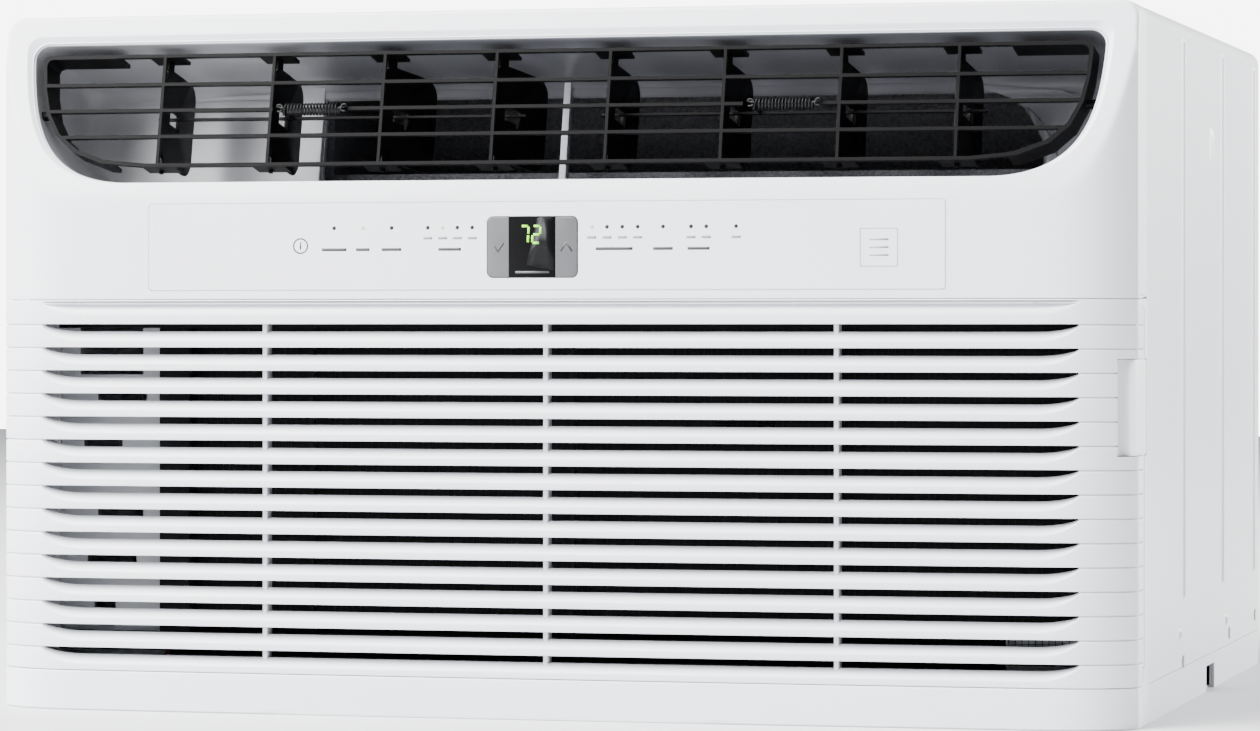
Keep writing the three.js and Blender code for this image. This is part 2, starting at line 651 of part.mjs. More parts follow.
class Helix extends THREE.Curve {
  getPoint(t, target = new THREE.Vector3()) {
    const angle = t * SPRING_TURNS * Math.PI * 2;
    return target.set(SPRING_LONG * t, SPRING_R * Math.sin(angle), SPRING_R * Math.cos(angle));
  }
}

function spring() {
  return tubeAlong(new Helix(), SPRING_WIRE, SPRING_TURNS * 5, 4);
}

// ---------- controls ----------
function controlOverlay() {
  const low = grilleTop + OVERLAY_LOW;
  const high = low + OVERLAY_TALL;
  const profile = [[0.2, low], [OVERLAY_THICK, low], [OVERLAY_THICK, high], [0.2, high]];
  const film = sweep(profile, evenly(OVERLAY_LEFT, OVERLAY_RIGHT, 10), bowY);
  return film.subtract(
    box(displayLeft - GAP, displayRight + GAP, front - 5, front + 12, displayLow - GAP, displayTop + GAP),
  );
}

function displayWindow() {
  const left = DISPLAY_MID - DISPLAY_WIDE / 2 + GAP;
  const right = DISPLAY_MID + DISPLAY_WIDE / 2 - GAP;
  const pane = box(left, right, front + 0.2, front + 3.4, displayLow, displayTop);
  return pane.add(box(left + 2, right - 2, front + 3, front + 8, displayLow + 3, displayTop - 3));
}

// Each key has its round corners on the outer side.
function arrowKey(side) {
  const inner = DISPLAY_MID + (side * DISPLAY_WIDE) / 2;
  const outer = inner + side * KEY_WIDE;
  const round = 3;
  const arc = (z, up) => evenly(0, Math.PI / 2, 3).map((t) => [
    z - up * round + up * round * Math.sin(t),
    outer - side * round + side * round * Math.cos(t),
  ]);
  const corners = [...arc(displayLow, -1).reverse(), ...arc(displayTop, 1)];
  const outline = [[displayLow, inner], ...corners, [displayTop, inner]];
  return prism(outline, front, front + KEY_DEEP, "y");
}

const boardFront = front + 9.5;
const boxFront = boardFront + 3;

function controlBoard() {
  const low = grilleTop + 8;
  const high = creaseZ - 8;
  const board = box(OVERLAY_LEFT + 15, OVERLAY_RIGHT - 15, boardFront, boardFront + 1.6, low, high);
  const leftward = evenly(OVERLAY_LEFT + 85, displayLeft - 25, 4);
  const places = [...leftward, ...evenly(displayRight + 30, displayRight + 90, 2)];
  const switches = places.map((x) => box(x - 3, x + 3, boardFront - 2, boardFront + 0.2, low + 6, low + 12));
  return union([board, ...switches]);
}

function controlBox() {
  const rear = filterBack - 4;
  const outside = box(OVERLAY_LEFT, OVERLAY_RIGHT, boxFront, rear, grilleTop + 4, creaseZ - 2);
  const wall = 1.6;
  const inside = box(
    OVERLAY_LEFT + wall, OVERLAY_RIGHT - wall, boxFront - 1, rear - wall,
    grilleTop + 4 + wall, creaseZ - 2 - wall,
  );
  return outside.subtract(inside);
}

function runCapacitor() {
  const z = (grilleTop + creaseZ) / 2;
  const y = boxFront + 12;
  return union([
    disc(9, OVERLAY_LEFT + 20, OVERLAY_LEFT + 78, "x", y, z, 20),
    box(OVERLAY_LEFT + 77, OVERLAY_LEFT + 85, y - 5, y - 4, z - 3, z + 3),
    box(OVERLAY_LEFT + 77, OVERLAY_LEFT + 85, y + 4, y + 5, z - 3, z + 3),
  ]);
}

// ---------- coils ----------
// A tube sheet with its return bends; side is the way the bends stick out.
function bendEnd(x, side, y0, y1, z0, z1) {
  const sheet = side > 0 ? box(x, x + 1.2, y0, y1, z0, z1) : box(x - 1.2, x, y0, y1, z0, z1);
  const step = (z1 - z0) / (COIL_ROWS * 2);
  const bends = Array.from({ length: COIL_ROWS }, (_, i) => {
    const z = z0 + step * (2 * i + 1);
    const lane = i % 2 ? 0.22 : 0.5;
    const y = y0 + (y1 - y0) * lane;
    const reach = step / 2;
    const points = evenly(0, Math.PI, 4).map((t) => [
      x + side * (0.4 + reach * 1.1 * Math.sin(t)), y, z - reach * Math.cos(t),
    ]);
    return tube(points, TUBE_R, 4, 6);
  });
  const inward = x - side * 20;
  const within = box(Math.min(x, inward), Math.max(x, inward), y0 - 9, y1 + 9, z0 - 9, z1 + 9);
  return union([sheet, ...bends]).subtract(within);
}

function airGuide() {
  const y = filterBack + 2.4;
  const right = coilLeft - 1.6;
  const plate = box(-halfW + 16, right, y, y + 1.4, coilLow, coilTop);
  const holes = [[28, 40, 15, 30], [24, 52, 42, 56], [30, 56, 68, 80], [22, 44, 104, 116], [30, 58, 132, 141],
    [20, 56, 150, 176]].map(([a, b, c, d]) =>
    box(-halfW + 14 + a, Math.min(right - 3, -halfW + 14 + b), y - 1, y + 3, coilLow + c, coilLow + d));
  const flange = box(-halfW + 16, -halfW + 17.4, y, coilBack, coilLow, coilTop);
  return cut(plate, holes).add(flange);
}

function drainPan() {
  const outside = box(coilLeft - 14, coilRight + 18, coilFront - 2, coilBack + 4, 6, coilLow - 3);
  return outside.subtract(box(coilLeft - 12, coilRight + 16, coilFront, coilBack + 2, 8, coilLow));
}

// ---------- cabinet ----------
function basePan() {
  const rear = back - 3.4;
  const head = joint + 5;
  const floor = box(-sideX + SHEET / 2, sideX - SHEET / 2, head, rear, 0, SHEET);
  const low = [-1, 1].map((side) => {
    const face = side * (sideX - SHEET);
    const outer = side * sideX;
    const x0 = Math.min(face, outer);
    const x1 = Math.max(face, outer);
    return box(x0, x1, joint + GAP, back - 1, 0, PAN_LIP);
  });
  const tails = [-1, 1].map((side) => {
    const a = side * (sideX - SHEET - GAP);
    const b = side * (sideX - 2 * SHEET - GAP);
    return box(Math.min(a, b), Math.max(a, b), joint + 6, back - 4, 0, PAN_FLANGE);
  });
  const links = [-1, 1].map((side) => {
    const a = side * sideX;
    const b = side * (sideX - 2 * SHEET - GAP);
    return box(Math.min(a, b), Math.max(a, b), joint + 6, back - 4, PAN_LIP - SHEET, PAN_LIP);
  });
  const ends = [
    box(-sideX + 2, sideX - 2, head, head + SHEET, 0, 5),
    box(-sideX + 2, sideX - 2, rear - SHEET, rear, 0, PAN_FLANGE),
  ];
  const notches = box(-halfW, halfW, joint + NOTCH_PLACE, joint + NOTCH_PLACE + NOTCH_WIDE, -1, NOTCH_TALL)
    .subtract(box(-sideX + 2 * SHEET + 1, sideX - 2 * SHEET - 1, -back, back, -2, HEIGHT));
  const glandHole = disc(GLAND_R + GAP, -halfW - 2, -halfW + 12, "x", glandY, glandZ, 20);
    return cut(union([floor, ...low, ...tails, ...links, ...ends]), [notches, glandHole, ...screwHoles()]);
}

const GLAND_R = 6;
const glandY = joint + 40;
const glandZ = 10.4;

function cordGland() {
  return union([
    ring(4, GLAND_R, -sideX - SIDE_PROUD, -sideX + 8, "x", glandY, glandZ, 16),
    ring(4, 8.6, -sideX - SIDE_PROUD, -sideX - GAP, "x", glandY, glandZ, 16),
  ]);
}

const screwPlace = ([along, up]) => [joint + along, up];

function screwHoles() {
  return SCREW_PLACES.map(screwPlace).map(([y, z]) => disc(2.1, -halfW - 2, halfW + 2, "x", y, z, 8));
}

function sideScrew(side, y, z) {
  const inward = -side;
  const head = side * (sideX + GAP);
  const outside = side * (sideX + SIDE_PROUD);
  const tip = side * (sideX - 9);
  const span = (a, b) => [Math.min(a, b), Math.max(a, b)];
  return union([
    disc(SCREW_R, ...span(head, outside), "x", y, z, 12),
    disc(1.7, ...span(head - inward * 0.1, tip), "x", y, z, 6),
  ]);
}

function cabinetWrap() {
  const rear = back;
  const head = joint + GAP;
  const low = PAN_LIP + GAP;
  const outside = roundedBox(-sideX, sideX, low - 20, HEIGHT, 5, 3);
  const inside = roundedBox(-sideX + SHEET, sideX - SHEET, low - 30, HEIGHT - SHEET, 4, 3);
  const skin = prism(swap(outside), head, rear, "y").subtract(prism(swap(inside), head - 1, rear + 1, "y"));
  const trimmed = skin.subtract(box(-halfW, halfW, head - 1, rear + 1, -50, low));
  const beads = [];
  for (const side of [-1, 1]) {
    for (const place of BEAD_PLACES) {
      const y = joint + place;
      const x = side * sideX;
      const proud = x + side * SIDE_PROUD;
      const half = BEAD_WIDE / 2;
      const outline = [
        [x - side * 0.6, y - half], [x, y - half], [proud, y - half * 0.4], [proud, y + half * 0.4],
        [x, y + half], [x - side * 0.6, y + half],
      ];
      beads.push(prism(outline, BEAD_LOW, HEIGHT - BEAD_INSET));
    }
  }
  return cut(union([trimmed, ...beads]), screwHoles());
}

function rearGrille() {
  const left = -sideX + SHEET + GAP;
  const right = sideX - SHEET - GAP;
  const outline = roundedBox(left, right, PAN_LIP + 2, HEIGHT - SHEET - GAP, 4, 3);
  const plate = prism(swap(outline), back - 1 - SHEET, back - 1, "y");
  const window = (x, wide, z, tall) => box(x, x + wide, back - 5, back, z, z + tall);
  const columnStep = (condenserRight - condenserLeft - 20) / REAR_COLUMNS;
  const rowStep = (condenserTop - REAR_LOW - 12) / REAR_ROWS;
  const windows = [];
  for (let row = 0; row < REAR_ROWS; row += 1) {
    for (let column = 0; column < REAR_COLUMNS; column += 1) {
      const x = condenserLeft + 15 + column * columnStep;
      windows.push(window(x, columnStep - REAR_BAR, REAR_LOW + row * rowStep, rowStep - REAR_BAR));
    }
    windows.push(window(left + 24, 50, REAR_LOW + row * rowStep, 8));
  }
  return cut(plate, windows);
}

function bulkhead() {
  const side = sideX - 2 * SHEET - 3 * GAP - 1;
  const wall = box(-side, side, bulkheadY, bulkheadY + SHEET, floorTop, HEIGHT - SHEET - GAP);
  const foot = box(-side, side, bulkheadY, bulkheadY + 8, floorTop, floorTop + SHEET);
  return cut(wall.add(foot), [
    disc(SHAFT_R + 10, bulkheadY - 2, bulkheadY + 3, "y", BLOWER_X, BLOWER_Z, 20),
    ...pipeLanes.map(([x, z]) => disc(TUBE_R + 3, bulkheadY - 2, bulkheadY + 3, "y", x, z, 16)),
  ]);
}

// ---------- rotor and motor ----------
function motorShaft() {
  return disc(SHAFT_R, scrollInside[0] + 2, fanY + 16, "y", BLOWER_X, BLOWER_Z, 16);
}

function fanMotor() {
  const rear = motorFront + MOTOR_LONG;
  return turned([
    [SHAFT_R + GAP, motorFront - 6], [16, motorFront - 6], [16, motorFront], [MOTOR_R - 8, motorFront],
    [MOTOR_R, motorFront + 8], [MOTOR_R, rear - 8], [MOTOR_R - 8, rear], [16, rear], [16, rear + 6],
    [SHAFT_R + GAP, rear + 6], [SHAFT_R + GAP, motorFront - 6],
  ], "y", BLOWER_X, BLOWER_Z, 20);
}

function motorBracket() {
  const y0 = motorFront + 28;
  const y1 = y0 + 26;
  const inner = MOTOR_R + GAP;
  const strap = ring(inner, inner + 2.4, y0, y1, "y", BLOWER_X, BLOWER_Z, 20);
  const legs = [-1, 1].map((side) => {
    const a = BLOWER_X + side * (inner + 1);
    const b = BLOWER_X + side * (inner + 3.4);
    return box(Math.min(a, b), Math.max(a, b), y0, y1, floorTop + 1, BLOWER_Z);
  });
  const foot = box(BLOWER_X - inner - 22, BLOWER_X + inner + 22, y0, y1, floorTop, 4.4);
  return union([strap, ...legs, foot]);
}

function blowerWheel() {
  const y0 = scrollInside[0] + 4;
  const y1 = y0 + BLOWER_LONG;
  const at = ["y", BLOWER_X, BLOWER_Z];
  const plate = disc(BLOWER_R, y1 - 2, y1, ...at, 20);
  const hub = disc(14, y1 - 20, y1 + 1, ...at, 12);
  const rim = ring(BLOWER_R - 5, BLOWER_R, y0, y0 + 4, ...at, 20);
  const blades = Array.from({ length: BLOWER_BLADES }, (_, i) => {
    const blade = new THREE.BoxGeometry(17, BLOWER_LONG - 2, 1.6);
    blade.rotateY(0.7).translate(BLOWER_R - 9, (y0 + y1) / 2, 0);
    blade.rotateY((i / BLOWER_BLADES) * Math.PI * 2).translate(BLOWER_X, 0, BLOWER_Z);
    return solidOf(blade);
  });
  return union([plate, hub, rim, ...blades]).subtract(disc(SHAFT_R + GAP, y0 - 5, y1 + 5, ...at, 16));
}

function condenserFan() {
  const at = ["y", BLOWER_X, BLOWER_Z];
  const hub = disc(24, fanY - 14, fanY + 14, ...at, 16);
  const slinger = ring(FAN_R - 4, FAN_R, fanY + 4, fanY + 12, ...at, 24);
  const blades = Array.from({ length: 5 }, (_, i) => {
    const ringsOf = evenly(20, FAN_R - 2, 3).map((r) => {
      const chord = 26 + 40 * ((r - 20) / (FAN_R - 22));
      const pitch = 0.75 - 0.35 * ((r - 20) / (FAN_R - 22));
      return [[-chord / 2, -1], [chord / 2, -1], [chord / 2, 1], [-chord / 2, 1]].map(([c, t]) => [
        r,
        fanY + c * Math.sin(pitch) * 0.42 + t * Math.cos(pitch),
        c * Math.cos(pitch) - t * Math.sin(pitch),
      ]);
    });
    const blade = geometryOf(loft(ringsOf, "x"));
    return solidOf(blade.rotateY((i / 5) * Math.PI * 2).translate(BLOWER_X, 0, BLOWER_Z));
  });
  return union([hub, slinger, ...blades]).subtract(disc(SHAFT_R + GAP, fanY - 30, fanY + 30, ...at, 16));
}

function fanShroud() {
  const y0 = condenserFront - 5;
  const face = box(condenserLeft + 2, condenserRight - 2, y0 - 2, y0, 4, condenserTop);
  const collar = ring(FAN_R + 5, FAN_R + 8, y0 - 30, y0 - 1, "y", BLOWER_X, BLOWER_Z, 28);
  const mouth = disc(FAN_R + 5, y0 - 40, y0 + 5, "y", BLOWER_X, BLOWER_Z, 28);
  return face.add(collar).subtract(mouth);
}

// ---------- refrigerant circuit ----------
const pipeLanes = [[-halfW + 34, 66], [-halfW + 52, HEIGHT - 76]];
const coilStep = (coilTop - coilLow) / (COIL_ROWS * 2);
const condenserStep = (condenserTop - CONDENSER_LOW) / (COIL_ROWS * 2);
const mountSpots = [0, 1, 2].map((i) => {
  const angle = 0.4 + (i * Math.PI * 2) / 3;
  return [compressorX + 66 * Math.cos(angle), compressorY + 66 * Math.sin(angle)];
});

function compressor() {
  const top = 18 + COMPRESSOR_TALL;
  const can = turned([
    [0, 18], [COMPRESSOR_R - 14, 18], [COMPRESSOR_R - 3, 26], [COMPRESSOR_R, 40], [COMPRESSOR_R, top - 40],
    [COMPRESSOR_R - 4, top - 22], [COMPRESSOR_R - 18, top - 7], [18, top], [0, top],
  ], "z", compressorX, compressorY, 18);
  const feet = mountSpots.map(([x, y]) => disc(13, 15.6, 19, "z", x, y, 12));
  const plate = disc(60, 16, 19, "z", compressorX, compressorY, 18);
  const cover = box(
    compressorX + 4, compressorX + 40, compressorY - 22, compressorY + 10, top - 14, top + 14,
  );
  const holes = mountSpots.map(([x, y]) => disc(5.3, 10, 25, "z", x, y, 10));
  return cut(union([can, plate, ...feet, cover]), holes);
}

function grommet([x, y]) {
  return turned([
    [0, floorTop], [11, floorTop], [11, 15.3], [5, 15.3], [5, 19.3], [8, 19.3], [8, 22], [0, 22],
  ], "z", x, y, 10);
}

const accumulatorAt = [compressorX + 30, compressorY - COMPRESSOR_R - 14];

function accumulator() {
  const [x, y] = accumulatorAt;
  return turned([[0, 60], [8, 62], [19, 74], [19, 166], [8, 178], [0, 180]], "z", x, y, 14);
}

function suctionLine() {
  const [x, y] = accumulatorAt;
  const [laneX, laneZ] = pipeLanes[1];
  const laneY = coilFront + COIL_DEEP * PIPE_LANE;
  return tube([
    [x, y, 180 + GAP], [x, y, 204], [x - 20, y - 2, laneZ - 16], [laneX + 6, y - 4, laneZ],
    [laneX, bulkheadY - 12, laneZ],
    [laneX, coilBack + 30, laneZ - 20], [coilLeft - 30, laneY + 8, coilTop - coilStep + 12],
    [coilLeft - 14, laneY, coilTop - coilStep], [coilLeft - 2, laneY, coilTop - coilStep],
  ], TUBE_R, 18, 6);
}

function dischargeLine() {
  const top = 18 + COMPRESSOR_TALL;
  const x = compressorX - 14;
  const laneY = condenserFront + COIL_DEEP * PIPE_LANE;
  const end = condenserTop - condenserStep;
  return tube([
    [x, compressorY + 6, top + 4], [x, compressorY + 10, top + 24], [x + 20, compressorY + 36, top + 50],
    [condenserLeft - 52, condenserFront - 10, end - 30], [condenserLeft - 27, laneY - 2, end - 4],
    [condenserLeft - 18, laneY, end], [condenserLeft - 10, laneY, end], [condenserLeft - 2, laneY, end],
  ], TUBE_R * 0.8, 18, 6);
}

const drierAt = [condenserLeft - 28, condenserFront - 26];
const DRIER_TOP = 170;

// The drier, with the liquid line brazed into its foot.
function filterDrier() {
  const [x, y] = drierAt;
  const laneY = condenserFront + COIL_DEEP * PIPE_LANE;
  const end = CONDENSER_LOW + 3 * condenserStep;
  const profile = [
    [0, 88], [4, 90], [12, 100], [12, DRIER_TOP - 12], [4, DRIER_TOP - 2], [0, DRIER_TOP],
  ];
  const can = turned(profile, "z", x, y, 14);
  const line = tube([
    [condenserLeft - 2, laneY, end], [condenserLeft - 12, laneY, end],
    [condenserLeft - 26, laneY - 6, end - 14],
    [x, y + 10, end - 26], [x, y, end - 12], [x, y, 92],
  ], TUBE_R * 0.8, 16, 6);
  return can.add(line);
}

function capillaryTube() {
  const [x, y] = drierAt;
  const [laneX, laneZ] = pipeLanes[0];
  const laneY = coilFront + COIL_DEEP * PIPE_LANE;
  const end = coilLow + 3 * coilStep;
  const above = (share) => DRIER_TOP + (condenserTop - DRIER_TOP) * share;
  return tube([
    [x, y, DRIER_TOP + GAP], [x - 2, y - 4, above(0.24)], [x - 40, y - 30, above(0.45)],
    [laneX + 12, compressorY + 70, above(0.385)], [laneX - 9.5, compressorY, above(0.165)],
    [laneX - 6, bulkheadY + 40, DRIER_TOP - 60], [laneX, bulkheadY + 10, laneZ],
    [laneX, bulkheadY - 14, laneZ], [laneX + 4, coilBack + 24, laneZ], [coilLeft - 24, laneY + 4, end],
    [coilLeft - 12, laneY, end], [coilLeft - 2, laneY, end],
  ], 1.6, 34, 4);
}

function thermistor() {
  const x = 96;
  const z = 150;
  return union([
    box(x - 6, x + 6, coilFront - 4.6, coilFront - GAP, z - 4, z + 4),
    disc(2, x - 16, x + 16, "x", coilFront - 2.6, z, 10),
  ]);
}

// ---------- assembly ----------
add("base_pan", basePan(), PAINTED_STEEL);
add("cabinet_wrap", cabinetWrap(), PAINTED_STEEL);
add("rear_grille", rearGrille(), PAINTED_STEEL);
add("bulkhead", bulkhead(), ZINC);
add("front_panel", frontPanel(), WHITE_PLASTIC);
add("intake_grille", intakeGrille(), WHITE_PLASTIC);
add("air_filter", airFilter(), WHITE_PLASTIC);
add("filter_mesh", filterMesh(), NET);
add("outlet_duct", outletDuct(), GREY_PLASTIC);
add("blower_scroll", blowerScroll(), FOAM);
add("louver_frame", louverFrame(), BLACK_PLASTIC, louverGroup);
addVanes();
add("tie_bar_left", tieBar(0), BLACK_PLASTIC, louverGroup);
add("tie_bar_right", tieBar(4), BLACK_PLASTIC, louverGroup);
["spring_left", "spring_right"].forEach((name, i) => {
  add(name, spring(), SPRING_STEEL, louverGroup).position.set(springLeft[i], FRAME_IN + 1.5, outletMid);
});
add("control_overlay", controlOverlay(), WHITE_PLASTIC);
add("display_window", displayWindow(), CLEAR_BLACK);
add("key_down", arrowKey(-1), KEY_GREY);
add("key_up", arrowKey(1), KEY_GREY);
add("control_board", controlBoard(), CIRCUIT_GREEN);
add("control_box", controlBox(), GREY_PLASTIC);
add("run_capacitor", runCapacitor(), ALUMINIUM);
add("thermistor", thermistor(), BLACK_PLASTIC);
add("air_guide", airGuide(), GREY_PLASTIC);
add("drain_pan", drainPan(), FOAM);
const evaporatorSpan = [coilFront, coilBack, coilLow, coilTop];
const condenserSpan = [condenserFront, condenserBack, CONDENSER_LOW, condenserTop];
add("evaporator_fins", box(coilLeft, coilRight, ...evaporatorSpan), ALUMINIUM);
add("evaporator_bends_left", bendEnd(coilLeft - GAP, -1, ...evaporatorSpan), COPPER);
add("evaporator_bends_right", bendEnd(coilRight + GAP, 1, ...evaporatorSpan), COPPER);
add("condenser_fins", box(condenserLeft, condenserRight, ...condenserSpan), ALUMINIUM);
add("condenser_bends", bendEnd(condenserLeft - GAP, -1, ...condenserSpan), COPPER);
add("motor_shaft", motorShaft(), ZINC);
add("blower_wheel", blowerWheel(), BLACK_PLASTIC);
add("condenser_fan", condenserFan(), BLACK_PLASTIC);
add("fan_motor", fanMotor(), ZINC);
add("motor_bracket", motorBracket(), ZINC);
add("fan_shroud", fanShroud(), BLACK_PLASTIC);
add("compressor", compressor(), BLACK_PAINT);
mountSpots.forEach((spot, i) => add(`compressor_grommet_${i + 1}`, grommet(spot), RUBBER));
add("accumulator", accumulator(), BLACK_PAINT);
add("suction_line", suctionLine(), COPPER);
add("discharge_line", dischargeLine(), COPPER);
add("filter_drier", filterDrier(), COPPER);
add("capillary_tube", capillaryTube(), COPPER);
add("cord_gland", cordGland(), RUBBER);
SCREW_PLACES.map(screwPlace).forEach(([y, z], i) => {
  add(`screw_right_${i + 1}`, sideScrew(1, y, z), ZINC);
  add(`screw_left_${i + 1}`, sideScrew(-1, y, z), ZINC);
});

export default assembly;
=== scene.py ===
"""Looks for a sleeve-type room air conditioner: a leaning bezel round a dark louvered outlet, a printed
control film, a slatted intake grille and a painted steel cabinet. All lengths are metres, +Z is up and -Y
is the front."""
import math

import bpy
import numpy as np
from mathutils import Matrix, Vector


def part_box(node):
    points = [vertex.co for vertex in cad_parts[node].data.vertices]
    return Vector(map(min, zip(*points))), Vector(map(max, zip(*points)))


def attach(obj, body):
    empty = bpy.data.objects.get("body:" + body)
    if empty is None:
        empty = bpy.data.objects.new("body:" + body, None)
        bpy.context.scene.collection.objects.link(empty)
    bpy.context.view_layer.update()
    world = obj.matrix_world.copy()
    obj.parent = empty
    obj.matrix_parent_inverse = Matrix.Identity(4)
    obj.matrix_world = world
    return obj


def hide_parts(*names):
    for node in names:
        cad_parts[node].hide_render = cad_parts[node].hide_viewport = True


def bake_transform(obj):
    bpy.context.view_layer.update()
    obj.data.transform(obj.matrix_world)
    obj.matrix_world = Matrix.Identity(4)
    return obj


bl_info = {
    "name": "Room air conditioner looks",
    "version": (1, 0, 0),
    "blender": (4, 5, 0),
    "location": "View3D > Sidebar > Room AC",
    "description": "Builds the finished surfaces and materials of a room air conditioner round its CAD frame",
    "category": "Object",
}

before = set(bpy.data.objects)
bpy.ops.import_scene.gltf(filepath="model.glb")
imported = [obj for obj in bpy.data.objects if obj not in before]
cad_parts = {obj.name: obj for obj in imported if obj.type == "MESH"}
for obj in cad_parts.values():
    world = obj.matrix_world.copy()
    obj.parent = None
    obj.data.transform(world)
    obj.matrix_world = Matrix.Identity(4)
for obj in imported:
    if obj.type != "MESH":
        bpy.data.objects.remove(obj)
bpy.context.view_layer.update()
MM = 0.001

# ---------- places read from the frame ----------
panel_low, panel_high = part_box("front_panel")
grille_low, grille_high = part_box("intake_grille")
film_low, film_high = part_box("control_overlay")
window_low, window_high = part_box("display_window")
filter_low, filter_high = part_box("air_filter")
wrap_low, wrap_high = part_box("cabinet_wrap")
_, pan_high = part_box("base_pan")
net_low, net_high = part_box("filter_mesh")
_, guide_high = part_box("air_guide")
HALF = panel_high.x
FRONT = panel_low.y
JOINT = panel_high.y
TOP = panel_high.z
GRILLE_TOP = grille_high.z + 0.3 * MM
GRILLE_FOOT = grille_low.z - 0.3 * MM
WRAP_END = grille_high.y
vane_names = sorted(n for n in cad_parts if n.startswith("vane_"))


# ---------- settings ----------
def length(name, description, default):
    return bpy.props.FloatProperty(name=name, description=description, default=default, unit="LENGTH",
                                   precision=5)


def whole(name, description, default):
    return bpy.props.IntProperty(name=name, description=description, default=default, min=1)


def colour(name, description, default):
    return bpy.props.StringProperty(name=name, description=description + ", as an sRGB hex value",
                                    default=default)


class PanelSettings(bpy.types.PropertyGroup):
    """Sizes of the moulded front panel."""

    bow: length("Bow", "How far the fascia bows forward at its middle", 5 * MM)
    corner_width: length("Corner width", "Width over which each front corner rolls back", 55 * MM)
    corner_depth: length("Corner depth", "How far each front corner rolls back", 18 * MM)
    corner_power: bpy.props.FloatProperty(name="Corner power", description="Exponent of the roll",
                                          default=3.5)
    crease_height: length("Crease height", "Height at which the bezel starts to lean", TOP - 97 * MM)
    tilt: bpy.props.FloatProperty(name="Tilt", description="Lean of the bezel", default=math.radians(13),
                                  subtype="ANGLE")
    crease_blend: length("Crease blend", "Softness of the crease below the bezel", 1.1 * MM)
    edge_radius: length("Edge radius", "Round along the top and the sides", 2.4 * MM)
    seam_radius: length("Seam radius", "Round along the seams", 0.6 * MM)
    top_corner: length("Top corner", "Round of the panel's upper corners", 9 * MM)
    rim_width: length("Rim width", "Width of the sloping rim of the outlet", 4.3 * MM)
    rim_depth: length("Rim depth", "Depth of the sloping rim of the outlet", 2.8 * MM)
    wall: length("Wall", "Thickness of the moulding", 2.0 * MM)
    outlet_side: length("Outlet side", "From the side of the panel to the outlet", 12.4 * MM)
    outlet_low: length("Outlet low", "From the crease up the slope to the outlet", 7.8 * MM)
    outlet_tall: length("Outlet height", "Height of the outlet up the slope", 81 * MM)


class GrilleSettings(bpy.types.PropertyGroup):
    """Sizes of the slatted intake grille."""

    slots: whole("Slots", "Number of open slots", 15)
    pitch: length("Pitch", "Height of one slat and its slot", 12.2 * MM)
    gap: length("Gap", "Open height of a slot", 3.9 * MM)
    sill: length("Sill", "Height of the scooped sill below a slot", 4.8 * MM)
    sill_depth: length("Sill depth", "Depth of the scooped sill", 7 * MM)
    head: length("Head", "From the upper seam to the first slot", 12.9 * MM)
    tip: length("Tip", "From the side of the panel to a slot's tip", 26.5 * MM)
    scoop: length("Scoop", "Length over which a slot closes to its tip", 24 * MM)
    corner: length("Corner", "Round of the grille's corners at the sides", 6 * MM)
    rib_step: length("Rib step", "Spacing of the upright ribs behind the slats", 153 * MM)


class ControlSettings(bpy.types.PropertyGroup):
    """Sizes of the printed control film and the display."""

    dot_height: length("Dot height", "Height of the indicator row above the film's lower edge", 32.4 * MM)
    dot_radius: length("Dot radius", "Radius of an indicator", 1.05 * MM)
    caption_height: length("Caption height", "Height of the small captions", 27.0 * MM)
    legend_height: length("Legend height", "Height of the large captions", 21.2 * MM)
    digit_wide: length("Digit width", "Width of a digit", 5.4 * MM)
    digit_tall: length("Digit height", "Height of a digit", 10.4 * MM)
    stroke: length("Stroke", "Width of a digit's segment", 1.15 * MM)
    corner: length("Corner", "Round of the display block's corners", 3.0 * MM)


class LouverSettings(bpy.types.PropertyGroup):
    """Sizes of the louver, its vanes and its springs."""

    coils: whole("Coils", "Turns of a spring", 17)
    wire: length("Wire", "Radius of the spring wire", 0.5 * MM)
    coil: length("Coil", "Radius of a spring", 2.9 * MM)
    blade: length("Blade", "Thickness of a vane", 1.6 * MM)
    blade_round: length("Blade corners", "Round of a vane's rear corners", 9 * MM)


class CabinetSettings(bpy.types.PropertyGroup):
    """Sizes of the painted cabinet."""

    fold: length("Fold", "Radius of the cabinet's upper folds", 8.6 * MM)
    bead_half: length("Bead half", "Half the width of an embossed bead", 2.8 * MM)
    bead_rise: length("Bead rise", "How far a bead stands proud", 1.3 * MM)
    bead_low: length("Bead low", "Lower end of the long beads", 56 * MM)
    bead_inset: length("Bead inset", "From a long bead's upper end to the top", 10 * MM)
    sheet: length("Sheet", "Thickness of the sheet", 1.0 * MM)


class FinishSettings(bpy.types.PropertyGroup):
    """Colours of the finishes."""

    white: colour("White plastic", "Moulded front panel and grille", "#DADCE1")
    steel_paint: colour("Steel paint", "Baked enamel of the cabinet", "#D3D6DA")
    duct_grey: colour("Duct grey", "Moulded outlet duct", "#ABACB0")
    black: colour("Black plastic", "Louver, vanes and fan", "#050506")
    key_grey: colour("Key grey", "Temperature keys", "#454649")
    print_grey: colour("Print grey", "Printed marks", "#0C0C0D")
    pale_print: colour("Pale print", "Small printed marks", "#8A8C8F")
    digits: colour("Digits", "Lit digits", "#7ED321")
    floor: colour("Floor", "Studio floor", "#CDCED0")


